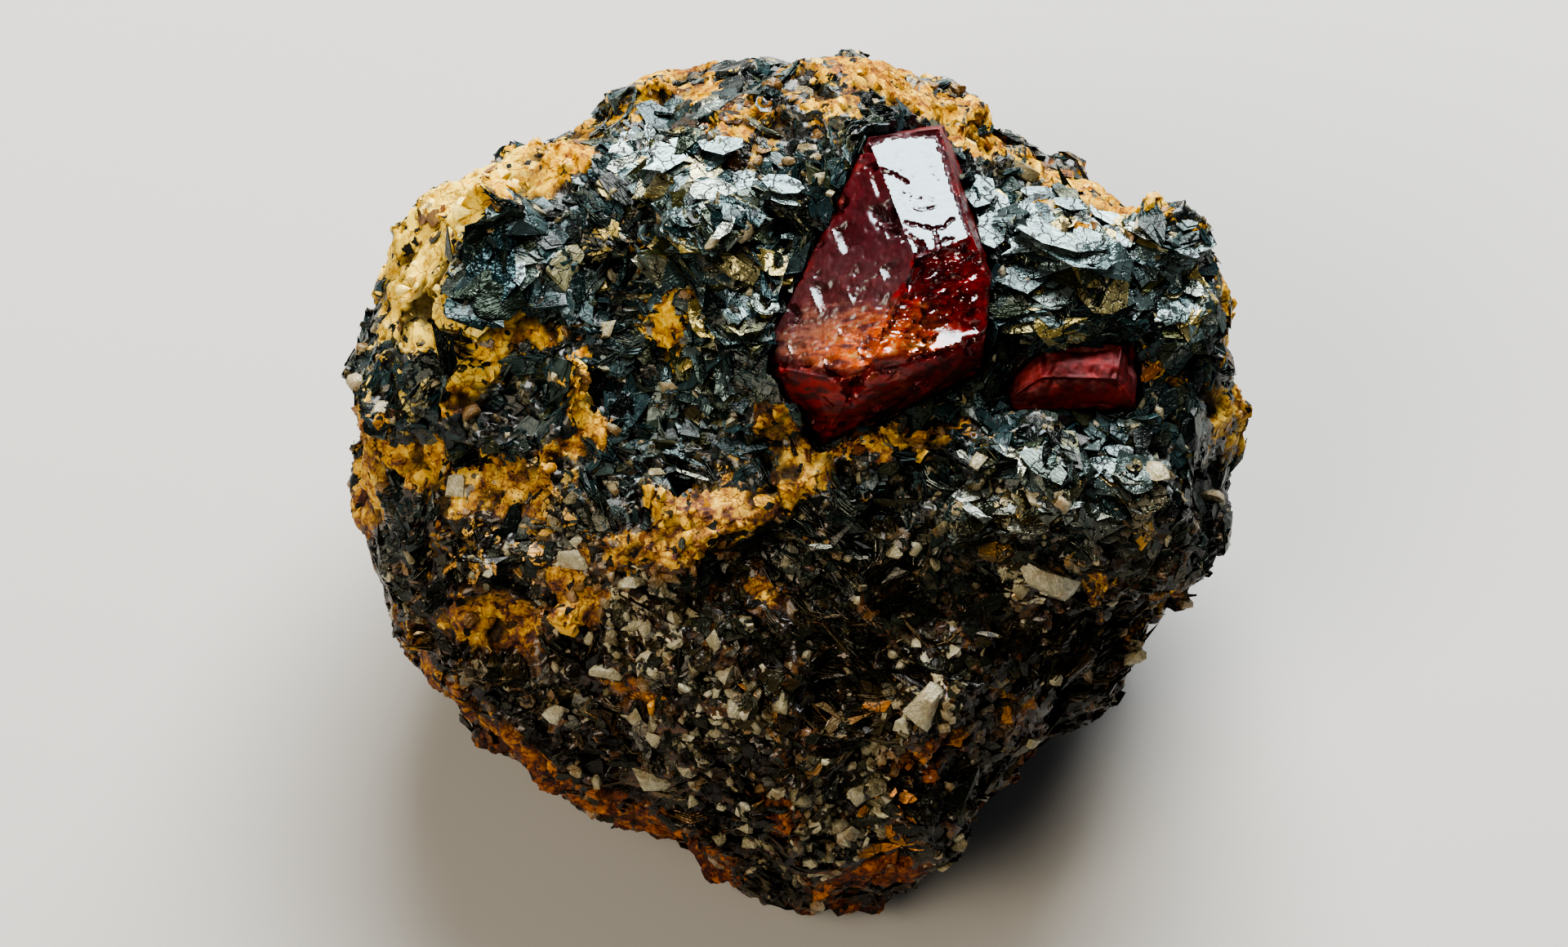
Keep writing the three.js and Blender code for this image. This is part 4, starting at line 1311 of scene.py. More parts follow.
DARK_PLATES = [
    (-16.2, 12.9, 1.7, 1.2, 10),
    (-17.2, 10.6, 1.3, 1.6, 80),
    (-15.4, 9.8, 1.5, 1.3, 20),
    (-16.6, 8.9, 1.7, 1.1, -10),
    (-15.6, 11.6, 1.5, 1.1, 80),
    (-17.2, 12.1, 1.3, 1.2, 60),
    (-16.3, 10.9, 1.9, 1.4, 70),
    (-15.2, 13.0, 1.1, 0.9, 40),
]
GLINT_WOBBLE = 0.08
BRIGHT = {"skin": 0.0, "light": 1.0, "tones": (0.76, 0.88), "height": 0.9}
DARK = {"skin": 1.0, "light": 0.4, "tones": (0.5, 0.6), "height": 0.6}


def plate(x, y, half_length, half_width, turned, kind):
    """The rows of one plate, as `joined` wants them. Heights are in millimetres above the skin."""
    spot, skin = skin_point(x, y)
    facing = kind["skin"] * skin + kind["light"] * np.array([glint])
    top = each_long_one(facing + draw.normal(0, GLINT_WOBBLE, (1, 3)))
    turn = standing_on(top, np.array([way_across(turned)]))
    size = np.array([[half_length, half_width, 1.0]])
    own = np.array([[draw.uniform(*kind["tones"]), 0.0, draw.uniform(0.8, 1.0)]])
    height = np.array([kind["height"]])
    place = np.array([spot + 0.3 * height * skin])
    return [draw.integers(0, len(drape_shapes))], place, turn, size, own, height


for kind, rows in ((DARK, DARK_PLATES), (BRIGHT, BRIGHT_PLATES)):
    for row in rows:
        sheets = [np.concatenate(pair) for pair in zip(sheets, plate(*row, kind))]
rock_parts.append(joined("mica_sheets", drape_shapes, *sheets))

# %% [markdown]
# ## The mica's finish
#
# Biotite is almost black, with a green or blue cast. What we see is mostly the light in its
# polished faces, so the gloss matters more than the colour: a smooth coat, a fine crackle where
# a sheet is broken, and faint steps. Each flake's own number picks its tone from a ramp, whose end is
# the rare silvery flake, and its rust number mixes in the brown that seeps out of the feldspar.

# %% Finish of the mica
FLAKE_STOPS = [
    (0.0, (0.002, 0.003, 0.002)),
    (0.25, (0.004, 0.009, 0.007)),
    (0.42, (0.011, 0.028, 0.029)),
    (0.55, (0.025, 0.052, 0.058)),
    (0.64, (0.035, 0.036, 0.008)),
    (0.74, (0.05, 0.085, 0.09)),
    (0.86, (0.15, 0.2, 0.2)),
    (0.93, (0.26, 0.21, 0.07)),
    (1.0, (0.6, 0.46, 0.14)),
]
RUST = (0.2, 0.07, 0.012, 1.0)
BLACK = (0.0015, 0.0015, 0.0015, 1.0)
# Painted warm shade, as on the rock: the next two turn the flakes browner and darker below the middle of the
# face.
FLAKE_WARM_SHADE_TINT = (1.1, 0.58, 0.28)  # tint of the flakes below the middle of the face
FLAKE_WARM_SHADE_ADDED = (0.004, 0.0012, 0.0003)
FIBRE_LIGHT = (0.008, 0.012, 0.009)
FIBRES = (0.9, 9.0, 9.0)  # fineness of the fibres along, across and through a flake


def mica_finish():
    """Glossy dark flakes with fine fibres along them, cracks, and rust near the ochre."""
    mica = Finish("mica")
    place = mica.face_place()
    own, rust, gloss = mica.split(mica.painted("own"))
    tone = mica.ramp(FLAKE_STOPS, own)
    patchy = mica.noise(place, 1.1, 4.0, 0.65)
    fine = mica.noise(mica.painted("along") * FIBRES, 1.0, 3.0, 0.6)
    low = mica.rise(mica.part_of(place, UP), 4.0, -10.0)
    # Painted warm shade below the middle of the face.
    tone = mica.blend(low, tone, tone * FLAKE_WARM_SHADE_TINT + FLAKE_WARM_SHADE_ADDED)
    colour = mica.blend(mica.rise(rust * 0.8 + patchy * 0.6, 0.45, 0.85), tone, RUST)
    colour = mica.blend(mica.rise(fine, 0.5, 0.7, 0.0, 0.6), colour, colour * 2.4 + FIBRE_LIGHT)
    whole = mica.between_cracks(place + mica.wander(place, 1.6, 2.0, 0.5, 1.2), 0.8, 0.04)
    colour = mica.blend(whole, BLACK, colour)
    height = whole * 0.3 + fine * 0.45 + mica.noise(place, 1.3, 3.0, 0.55) * 1.3
    return mica.surface(
        Base_Color=colour,
        Roughness=mica.rise(fine * 0.6 + (1 - gloss) * 0.5, 0.3, 0.9, 0.12, 0.36),
        Metallic=mica.rise(gloss, 0.2, 0.9, 0.1, 0.6),
        Normal=mica.bump(height, 0.12),
        IOR=1.42,
        Coat_Weight=0.15,
        Coat_Roughness=0.08,
    )


mica_material = mica_finish()
for part in rock_parts:
    part.data.materials.append(mica_material)

# %% [markdown]
# ## Feldspar and quartz grains
#
# The rusty crust is made of small feldspar grains, from cream to burnt orange. Between the mica
# sit pale, glassy grains, most of them under a millimetre, and a few big ones whose places are
# named one by one. Both kinds use the same hulls, and sit half sunk in the rock.

# %% Lay the grains
GRAIN_AT_CRYSTAL = 0.2  # the largest grain that touches a crystal, mm
GRAIN_CLEAR = 0.15  # grains whose middle is nearer to a crystal than this are left out, mm
SUNK_RANGE = 0.3  # how much deeper or higher than told a grain sits, in radii


def lay_grains(draw, count, weight, least, most, sunk):
    """Places, turns and sizes for grains that sit part-way into the skin."""
    places, squares = sow(draw, count, weight)
    skins = skin_normals[squares]
    turns = standing_on(each_long_one(draw.normal(0, 1, (count, 3))), draw.normal(0, 1, (count, 3)))
    radius = least + (most - least) * draw.random(count) ** 2.0
    radius = np.minimum(radius, GRAIN_AT_CRYSTAL + 0.6 * np.clip(clear_of_crystals(places), 0, 3))
    depth = radius * draw.uniform(sunk - SUNK_RANGE, sunk + SUNK_RANGE, count)
    places = places - skins * depth[:, None]
    sizes = radius[:, None] * draw.uniform(0.75, 1.25, (count, 3))
    numbers = np.stack([draw.random(count), draw.random(count), skin_shares[0][squares]], axis=1)
    stand = 0.15 + 0.7 * radius
    keep = clear_of_crystals(places) > GRAIN_CLEAR
    return [rows[keep] for rows in (places, turns, sizes, numbers, stand)]


def big_grain(x, y, half_length, half_width, turned):
    """The rows of one listed grain, sunk by a third of its half-width."""
    spot, skin = skin_point(x, y)
    turn = standing_on(np.array([skin]), np.array([way_across(turned)]))
    size = np.array([[half_length, half_width, 0.9 * half_width]]) * 1.15
    own = np.array([[draw.uniform(0.6, 1.0), 0.5, 0.0]])
    return np.array([spot - skin * 0.3 * half_width]), turn, size, own, np.array([BIG_STAND])


# %% Sow the grains
PALE_GRAINS = 2200
OCHRE_GRAINS = 1900
BIG_STAND = 0.8  # the most that a big grain stands above the skin, mm
WORN = math.radians(50)  # grains are worn, so only their sharpest edges stay crisp
draw = np.random.default_rng(52)
low_face = 1 + smooth_step(-skin_seen[:, 1], -4.0, 6.0)
pale_weight = skin_front * low_face * (0.22 + 3.4 * pale_skin) * np.clip(1.1 - ochre_skin, 0, 1)
pale_weight = (pale_weight + 0.1 * (1 - skin_front)) * room_for_grains(skin_seen)
rows = lay_grains(draw, PALE_GRAINS, pale_weight, 0.16, 0.7, 0.25)
for row in BIG_GRAINS:
    rows = [np.concatenate(pair) for pair in zip(rows, big_grain(*row))]
kinds = draw.integers(0, len(grain_shapes), len(rows[0]))
pale_grains = joined("pale_grains", grain_shapes, kinds, *rows, crease=WORN)

ochre_weight = np.clip(ochre_skin - 0.25, 0, 1) * (0.4 + skin_front)
rows = lay_grains(draw, OCHRE_GRAINS, ochre_weight, 0.2, 0.8, 0.72)
kinds = draw.integers(0, len(grain_shapes), len(rows[0]))
ochre_grains = joined("ochre_grains", grain_shapes, kinds, *rows, crease=WORN)
rock_parts += [pale_grains, ochre_grains]

# %% [markdown]
# Pale grains let some light in, and are stained where they touch the ochre. Ochre grains take
# the same colours as the crust round them, so that they look like loose lumps of it.

# %% Finish of the grains
STAIN = (0.36, 0.17, 0.045, 1.0)


def pale_finish():
    """Cloudy quartz or feldspar, stained near the ochre."""
    pale = Finish("pale_grain")
    place = pale.face_place()
    own, _, ochre = pale.split(pale.painted("own"))
    cloud = pale.noise(place, 1.8, 4.0, 0.6)
    flaw = pale.noise(place, 2.6, 4.0, 0.7)
    colour = pale.ramp(PALE_STOPS, own * 0.7 + (cloud - 0.5) * 0.6 + (flaw - 0.5) * 0.7)
    stained = pale.rise(pale.noise(place, 0.7, 3.0) + ochre * 0.5, 0.5, 0.8, 0.0, 0.75)
    colour = pale.blend(stained, colour, STAIN)
    return pale.surface(
        Base_Color=colour,
        Roughness=pale.rise(cloud, 0.3, 0.7, 0.12, 0.34),
        Normal=pale.bump(pale.noise(place, 1.6, 4.0, 0.65), 0.3),
        IOR=1.54,
        Transmission_Weight=0.35,
    )


def ochre_finish():
    """Rusty feldspar, some grains duller than others."""
    ochre = Finish("ochre_feldspar")
    place = ochre.face_place()
    own, dull, _ = ochre.split(ochre.painted("own"))
    cloud = ochre.noise(place, 1.3, 5.0, 0.7)
    colour = ochre.ramp(OCHRE_STOPS, cloud + (own - 0.5) * 0.5 + warmer_up_the_face(ochre, place))
    colour = ochre.blend(rusty_at_the_foot(ochre, place), colour, colour * RUST_TINT)
    colour = broken_grain(ochre, place, colour)
    return ochre.surface(
        Base_Color=colour,
        Roughness=ochre.rise(dull, 0.0, 1.0, 0.3, 0.62),
        Normal=ochre.bump(ochre.noise(place, 3.2, 4.0, 0.7), 0.12),
        IOR=1.53,
        Coat_Weight=ochre.rise(dull, 0.5, 1.0, 0.0, 0.35),
    )


pale_grains.data.materials.append(pale_finish())
ochre_grains.data.materials.append(ochre_finish())

# %% [markdown]
# ## The crystals
#
# A zircon is a square prism with a pyramid on its end. These two lie half in the rock, so they
# show broad slanting faces. The solids hold the exact planes. A voxel remesh gives each crystal
# enough points to carve, but it rounds the edges off, so every point is then drawn back to the
# planes that it lies nearest to. Only after that does each face get the marks of its own growth.

# %% Sharpen a remeshed crystal
EDGE_REACH = 0.085  # a point this near to a second plane goes onto the edge, mm


def sharpened(points, node):
    """Points drawn onto the crystal's planes, and onto its edges where they are near one."""
    normals, distances = planes[node]
    for _ in range(8):
        off = points @ normals.T - distances
        nearest = off.max(axis=1, keepdims=True)
        pull = np.where((off > -EDGE_REACH) | (off == nearest), off, 0)
        points = points - 0.8 * pull @ normals / np.maximum(1, (pull != 0).sum(axis=1, keepdims=True) * 0.7)
    off = points @ normals.T - distances
    return points - np.take_along_axis(off, off.argmax(axis=1)[:, None], 1) * normals[off.argmax(axis=1)]


def facet_number(node, azimuth, lean):
    """The plane that looks most nearly along a direction of the face frame."""
    side = math.sin(math.radians(lean))
    turn = math.radians(azimuth)
    way = part_direction((side * math.cos(turn), side * math.sin(turn), math.cos(math.radians(lean))))
    return int(np.argmax(planes[node][0] @ np.array(way)))


FACETS = {
    "mirror": facet_number("large_zircon", 82, 38),
    "velvet": facet_number("large_zircon", 142, 39),
    "blood": facet_number("large_zircon", 3, 23),
    "dark": facet_number("large_zircon", 223, 53),
    "lower": facet_number("large_zircon", 297, 62),
    "broken": facet_number("large_zircon", 250, 30),
}
print("facets:", FACETS)

# %% [markdown]
# The marks differ from face to face. The upper right face is a mirror with a few cracks and a
# toothed lower edge. The left one has fine terraces from growth. The right one is broken in ridges
# across it. All marks go inwards, so the crystal stays in its solid. First come the measures that
# the marks are made from.

# %% Measures on a face
def saw(value):
    """0 to 1 and back to 0 at once, like the teeth of a saw."""
    return value - math.floor(value)


def near_ellipse(x, y, middle_x, middle_y, half_length, half_width, turn):
    """1 inside an ellipse of the crystal face, falling to 0 at its rim."""
    cos = math.cos(math.radians(turn))
    sin = math.sin(math.radians(turn))
    along = ((x - middle_x) * cos + (y - middle_y) * sin) / half_length
    aside = ((y - middle_y) * cos - (x - middle_x) * sin) / half_width
    return max(0.0, min(1.0, 1.6 - math.hypot(along, aside)))


def off_segment(x, y, start, end):
    """The distance from a place of the crystal face to a straight line between two places."""
    run_x = end[0] - start[0]
    run_y = end[1] - start[1]
    share = ((x - start[0]) * run_x + (y - start[1]) * run_y) / (run_x ** 2 + run_y ** 2)
    share = max(0.0, min(1.0, share))
    return math.hypot(x - start[0] - share * run_x, y - start[1] - share * run_y)


def off_line(x, y, corners):
    """The distance from a place to a line with corners."""
    return min(off_segment(x, y, start, end) for start, end in zip(corners, corners[1:]))


def outside(x, y, outline):
    """How far a place lies outside a closed outline; inside it is 0."""
    inside = False
    for (x0, y0), (x1, y1) in zip(outline, outline[1:] + outline[:1]):
        if (y0 > y) != (y1 > y) and x < x0 + (y - y0) * (x1 - x0) / (y1 - y0):
            inside = not inside
    return 0.0 if inside else off_line(x, y, outline + outline[:1])


# %% [markdown]
# The bright dashes on the left and right faces are small steps that look along the halfway
# direction. A step falls away steeply enough to face it, and then the crystal rises again so gently
# that nothing shades the step from the light, which comes in low over these faces.

# %% Steps that flash
turned_back = face_to_part.to_3x3().inverted()
glint_seen = turned_back @ glint


def slope_to_glint(number):
    """How fast a flat must deepen, along x and along y, to turn from a crystal face to the glint."""
    normal = turned_back @ Vector(planes["large_zircon"][0][number])
    return (glint_seen.xy - normal.xy * (glint_seen.z / normal.z)) / glint_seen.dot(normal)


WAY_BACK = 0.2  # how gently a face rises again behind a step, mm per mm


def steps(x, y, rows, slope, crooked):
    """The depth of steps that face the halfway direction, and so flash. Also says if a place is on one."""
    depth = 0.0
    on_step = False
    steep = slope.length + 0.5 * WAY_BACK
    for middle_x, middle_y, half_length, half_width in rows:
        across = ((x - middle_x) * slope.x + (y - middle_y) * slope.y) / slope.length
        along = ((y - middle_y) * slope.x - (x - middle_x) * slope.y) / slope.length
        inside = 1 + crooked - abs(along) / half_length
        if inside > 0 and across > -half_width:
            down = steep * (across + half_width)
            back = 2 * steep * half_width - WAY_BACK * (across - half_width)
            on_step = on_step or down < back
            depth += min(down * min(1.0, 8 * inside), max(0.0, back) * min(1.0, 2.5 * inside))
    return depth, on_step


print("the halfway direction in the face frame:", glint_seen)

# %% Marks of the mirror face
MIRROR_OUTLINE = [  # the part of the upper face that is polished
    (3.5, 17.7),
    (4.5, 18.15),
    (5.5, 18.3),
    (7.1, 18.25),
    (7.65, 16.4),
    (8.75, 12.8),
    (8.2, 12.5),
    (8.05, 12.75),
    (7.7, 12.35),
    (7.35, 12.25),
    (7.25, 12.7),
    (7.05, 12.2),
    (6.7, 12.05),
    (6.3, 12.75),
    (6.1, 12.1),
    (5.85, 11.5),
    (5.2, 13.2),
    (3.4, 17.0),
]
MIRROR_CRACKS = [  # depth, half-width, corners
    (0.3, 0.14, [(3.5, 16.8), (4.5, 16.4)]),
    (0.16, 0.12, [(4.5, 16.4), (5.05, 16.2), (5.6, 15.8)]),
    (0.06, 0.11, [(5.35, 15.0), (5.5, 15.35), (5.85, 15.35), (5.95, 15.05), (5.7, 14.85)]),
    (0.05, 0.11, [(6.1, 14.9), (6.5, 15.0), (7.0, 14.85)]),
    (0.07, 0.11, [(6.0, 14.4), (6.5, 14.3), (7.2, 14.5)]),
    (0.13, 0.12, [(5.35, 13.6), (6.1, 13.5), (6.8, 13.3), (7.4, 13.4), (8.0, 13.85)]),
    (0.24, 0.13, [(5.0, 13.4), (5.7, 12.9), (6.3, 12.3)]),
    (0.2, 0.12, [(7.0, 13.3), (7.1, 12.7), (7.05, 11.9)]),
    (0.12, 0.11, [(7.4, 12.7), (8.0, 12.75)]),
    (0.05, 0.1, [(6.8, 16.6), (7.2, 16.2), (7.3, 15.6)]),
]


def mirror_marks(x, y, spot):
    wave = noise.fractal(Vector((x * 0.5, y * 1.3, 2.0)), 1.0, 2.0, 3)
    wrinkle = 0.012 * (1 + noise.fractal(spot * 1.1, 1.0, 2.0, 2)) + 0.03 * max(0.0, 1 - abs(wave) / 0.04)
    crooked_x = x + 0.1 * noise.noise(spot * 2.4)
    crooked_y = y + 0.12 * noise.noise(spot * 2.4 + Vector((5, 0, 0)))
    crack = max(
        depth * max(0.0, 1 - off_line(crooked_x, crooked_y, corners) / half_width)
        for depth, half_width, corners in MIRROR_CRACKS
    )
    off = outside(crooked_x, crooked_y, MIRROR_OUTLINE)
    return wrinkle + crack + 0.14 * min(1.0, off / 0.1) + 0.45 * min(off, 1.0)


print("cracks in the mirror face:", len(MIRROR_CRACKS))

# %% Marks of the other faces
VELVET_STEPS = [  # x, y, half-length, half-width
    (4.0, 13.95, 0.55, 0.12),
    (3.85, 15.5, 0.6, 0.08),
    (1.95, 12.75, 0.75, 0.15),
    (0.75, 9.7, 0.7, 0.16),
    (4.25, 10.95, 0.35, 0.14),
    (2.6, 9.6, 0.3, 0.09),
    (4.9, 9.3, 0.3, 0.14),
    (2.0, 7.9, 0.25, 0.1),
    (3.0, 6.9, 0.25, 0.1),
    (-0.6, 7.0, 0.3, 0.09),
    (1.2, 6.3, 0.2, 0.1),
]
BLOOD_STEPS = [
    (8.1, 7.75, 1.5, 0.5),
    (6.4, 7.3, 0.3, 0.2),
    (5.9, 6.85, 0.25, 0.12),
    (6.55, 9.56, 0.5, 0.1),
    (7.6, 10.0, 0.3, 0.1),
    (8.2, 9.8, 0.3, 0.1),
    (7.9, 11.6, 0.55, 0.13),
    (6.95, 10.8, 0.5, 0.11),
    (8.05, 10.55, 0.4, 0.1),
    (9.0, 10.7, 0.3, 0.1),
    (9.1, 9.6, 0.25, 0.1),
    (8.7, 11.9, 0.25, 0.12),
    (5.2, 8.3, 0.3, 0.13),
    (7.2, 8.9, 0.25, 0.1),
]
velvet_slope = slope_to_glint(FACETS["velvet"])
blood_slope = slope_to_glint(FACETS["blood"])


def velvet_marks(x, y, spot):
    stray = noise.fractal(spot * 0.4, 0.9, 2.0, 4)
    terrace = saw(0.42 * (y * 0.8 - x * 0.45) + 1.9 * stray)
    streak, on_step = steps(x, y, VELVET_STEPS, velvet_slope, 0.5 * noise.noise(spot * 2.1))
    chip = max(0.0, noise.noise(spot * 1.3 + Vector((9, 0, 4))) - 0.25)
    rough = noise.fractal(spot * 1.7, 0.9, 2.0, 3)
    edge = max(0.0, 1 - abs(terrace - 0.5) * 9) * max(0.0, noise.noise(spot * 0.8) + 0.1)
    slant = Vector((0.6 * (0.86 * x + 0.5 * y), 2.4 * (0.86 * y - 0.5 * x), 0.6 * spot.z))
    grainy = 0.13 * near_ellipse(x, y, 1.6, 6.8, 4.2, 2.6, 25) * (1 + noise.fractal(slant, 0.7, 2.0, 3))
    if on_step:
        return streak + 0.02 * (1 + rough)
    return streak + 0.03 * terrace + 0.16 * edge + 0.2 * chip + 0.03 * (1 + rough) + grainy


def blood_marks(x, y, spot):
    stray = noise.fractal(Vector((x * 0.45, y * 1.1, 3.0)), 1.0, 2.0, 3)
    ridge = saw(0.8 * y + 0.2 * x + 2.2 * stray)
    deep = 0.03 + 0.3 * max(0.0, noise.noise(spot * 0.45) + 0.1)
    steep, on_step = steps(x, y, BLOOD_STEPS, blood_slope, 0.5 * noise.noise(spot * 2.2))
    if on_step:
        return steep + 0.015 * (1 + noise.fractal(spot * 1.4, 0.9, 2.0, 2))
    return steep + deep * ridge + 0.02 * (1 + noise.fractal(spot * 0.9, 0.9, 2.0, 2))


def broken_marks(x, y, spot):
    large, rim, _ = broken_height(spot, 1.5, 0.4, 0.3)
    return 0.24 - 0.5 * large + 0.08 * max(0.0, 1 - rim / 0.15)


def dark_marks(x, y, spot):
    return 0.03 * (1 + noise.fractal(spot * 0.5, 1.0, 2.0, 3)) + 0.02 * saw(1.6 * y + 0.6 * x)


MARKS = {"mirror": mirror_marks, "velvet": velvet_marks, "blood": blood_marks, "broken": broken_marks}
print("faces with marks of their own:", list(MARKS))

# %% [markdown]
# The marks are carved into the points one by one. The edges between faces are worn as well: a
# soft maximum over the planes rounds them off, more at the foot, and chips are bitten out of them.

# %% Carve a crystal
def rounded(off, normals, width):
    """How far a rounded crystal lies inside its sharp planes, and the way in, for each point."""
    shares = np.exp(off / width[:, None])
    inward = (shares / shares.sum(axis=1, keepdims=True)) @ normals
    length = np.linalg.norm(inward, axis=1)
    return width * np.log(shares.sum(axis=1)) / length, inward / length[:, None]


def carved_crystal(name, node, voxel, carve, soften, bite):
    """
    A crystal's mesh with its marks, and for each point its face, its place in the face frame, the
    depth of its mark and its distances to the planes. Soften gives the width of the rounding of the
    edges, and bite the depth of the chips there.
    """
    mesh = even_mesh(merged_copy(node), voxel)
    points = sharpened(read_points(mesh), node)
    normals, distances = planes[node]
    off = points @ normals.T - distances
    facet = off.argmax(axis=1)
    second = np.partition(off, -2, axis=1)[:, -2]
    seen = face_places(points)
    width = soften(off, np.array([noise.noise(Vector(p) * 0.7) for p in points]))
    sunk, way = rounded(off, normals, width)
    chip = np.array([max(0.0, noise.fractal(Vector(p) * 0.8, 0.9, 2.0, 3) - 0.1) for p in points])
    chip *= bite * (1 - smooth_step(-second, 0.1, 1.0)) * (facet != FACETS["mirror"])
    chip *= 1 + (facet == FACETS["velvet"])
    depth = np.array([carve(f, *s[:2], Vector(p)) for f, s, p in zip(facet, seen, points)])
    buried = smooth_step(seen[:, 2], 6.5, 8.5)
    depth_in = depth * (0.25 + 0.75 * smooth_step(-second, 0.0, 0.22)) + sunk + chip
    points = points - way * (depth_in * buried)[:, None]
    mesh.vertices.foreach_set("co", points.ravel())
    mesh.update()
    print(name + ":", len(points), "points, deepest mark", round(depth_in.max(), 2), "mm")
    return mesh, facet, seen, depth, off


def near_foot(off):
    """How far each point lies above the two lower faces of the large crystal, below 0."""
    return off[:, [FACETS["dark"], FACETS["lower"]]].max(axis=1)


def large_soften(off, stray):
    foot = smooth_step(near_foot(off), -1.2, -0.1)
    return 0.05 + 0.1 * np.clip(stray, 0, 1) + 0.45 * foot


def small_soften(off, stray):
    return 0.26 + 0.12 * stray


def large_carve(facet, x, y, spot):
    for mark, carve in MARKS.items():
        if facet == FACETS[mark]:
            return carve(x, y, spot)
    return dark_marks(x, y, spot)


SMALL_OUTLINE = [
    (10.7, 5.9),
    (12.0, 7.1),
    (13.7, 7.1),
    (15.1, 6.3),
    (17.1, 6.2),
    (17.4, 3.9),
    (14.2, 3.5),
    (10.7, 3.8),
]


def small_carve(facet, x, y, spot):
    uneven = 0.1 * (1 + noise.fractal(spot * 0.8, 0.9, 2.0, 4)) + 0.03 * (1 + noise.noise(spot * 2.3))
    crooked_x = x + 0.2 * noise.noise(spot * 0.9)
    crooked_y = y + 0.2 * noise.noise(spot * 0.9 + Vector((5, 0, 0)))
    off = outside(crooked_x, crooked_y, SMALL_OUTLINE)
    return uneven + 0.22 * min(1.0, off / 0.9)


# %% [markdown]
# Colour follows the faces too, but not exactly: the large crystal is blood red, with a brown veil
# over the left face, a honey-coloured break across its lower part, painted brighter as a glow of
# light shining through the crystal, and a dark glassy foot, whose darkness is painted shade. They
# are painted as soft masks, which the finish roughens with noise. The small crystal is matte red.

# %% Carve and paint the crystals
CRYSTAL_VOXEL = 0.1
LARGE_BITE = 0.9
SMALL_BITE = 0.25
large = carved_crystal(
    "large_zircon_crystal", "large_zircon", CRYSTAL_VOXEL, large_carve, large_soften, LARGE_BITE
)
mesh, facet, seen, depth, off = large
margin = off[:, FACETS["velvet"]] - off[:, [FACETS["blood"], FACETS["broken"]]].max(axis=1)
stray = smooth_noise(seen, 1.6)
veil = smooth_step(margin + 1.4 * stray, -1.2, 0.9) * (facet != FACETS["mirror"])
veil *= 1 - 0.2 * smooth_step(seen[:, 1] - 0.9 * seen[:, 0] + stray, 9.5, 13.0)
# Painted shade: the foot mask darkens the two lower faces, and the faces that are not named, as the shade
# that falls there.
foot = smooth_step(near_foot(off) + 0.6 * stray, -1.2, 0.2)
named = sorted(set(FACETS.values()))
past_named = np.delete(off, named, axis=1).max(axis=1) - off[:, named].max(axis=1)
foot = np.maximum(foot, 0.8 * smooth_step(past_named + 0.4 * stray, -0.3, 0.3))
# Painted glow: the honey mask marks the break across the lower part, coloured as though light shone through
# the crystal from inside.
honey_glow = np.array([near_ellipse(x, y, 3.6, 6.0, 3.6, 2.1, 24) for x, y, _ in seen]) * (1 - foot)
brown = np.array([near_ellipse(x, y, 0.9, 7.0, 3.2, 2.3, 30) for x, y, _ in seen]) * (1 - foot)
calm = (facet == FACETS["mirror"]) * (1 - smooth_step(depth, 0.1, 0.2))
veil = np.where(facet == FACETS["mirror"], 1 - calm, veil)
paint(mesh, "veils", [veil, honey_glow, brown])
paint(mesh, "faces", [calm, foot, 0.0])
crystals = {"large_zircon": settle("large_zircon_crystal", mesh, smooth=True)}
mesh.set_sharp_from_angle(angle=CREASE)

mesh = carved_crystal(
    "small_zircon_crystal", "small_zircon", CRYSTAL_VOXEL, small_carve, small_soften, SMALL_BITE
)[0]
paint(mesh, "veils", [0.0, 0.0, 0.0])
paint(mesh, "faces", [0.0, 0.0, 1.0])
crystals["small_zircon"] = settle("small_zircon_crystal", mesh, smooth=True)

# %% [markdown]
# ## The crystals' finish
#
# Zircon bends light strongly, nearly as much as diamond, so its index of refraction is 1.95. Part
# of the light passes into it and is tinted and absorbed there, which is what makes the red look
# deep. The rest is scattered by cracks just under the face, and takes the face's own colour.

# %% Finish of the zircons
UNDER_MIRROR = (0.045, 0.003, 0.004, 1.0)
VELVET = (0.12, 0.035, 0.04, 1.0)
WINE = (0.07, 0.008, 0.014, 1.0)
DARK_RED = (0.1, 0.001, 0.001, 1.0)
BLOOD_RED = (0.42, 0.006, 0.003, 1.0)
BROWN_DUSTING = (0.4, 0.17, 0.11, 1.0)
HONEY_GLOW = (0.88, 0.17, 0.025, 1.0)
HONEY_GLOW_FLECKS = (0.75, 0.4, 0.14, 1.0)
SHADED_FOOT = (0.08, 0.001, 0.001, 1.0)
FOOT_STREAKS = (0.46, 0.009, 0.004, 1.0)
DARK_MATTE = (0.12, 0.003, 0.002, 1.0)
MATTE_RED = (0.26, 0.007, 0.004, 1.0)
RED_GLASS = {"Color": (0.8, 0.03, 0.01, 1.0), "Density": 450.0}


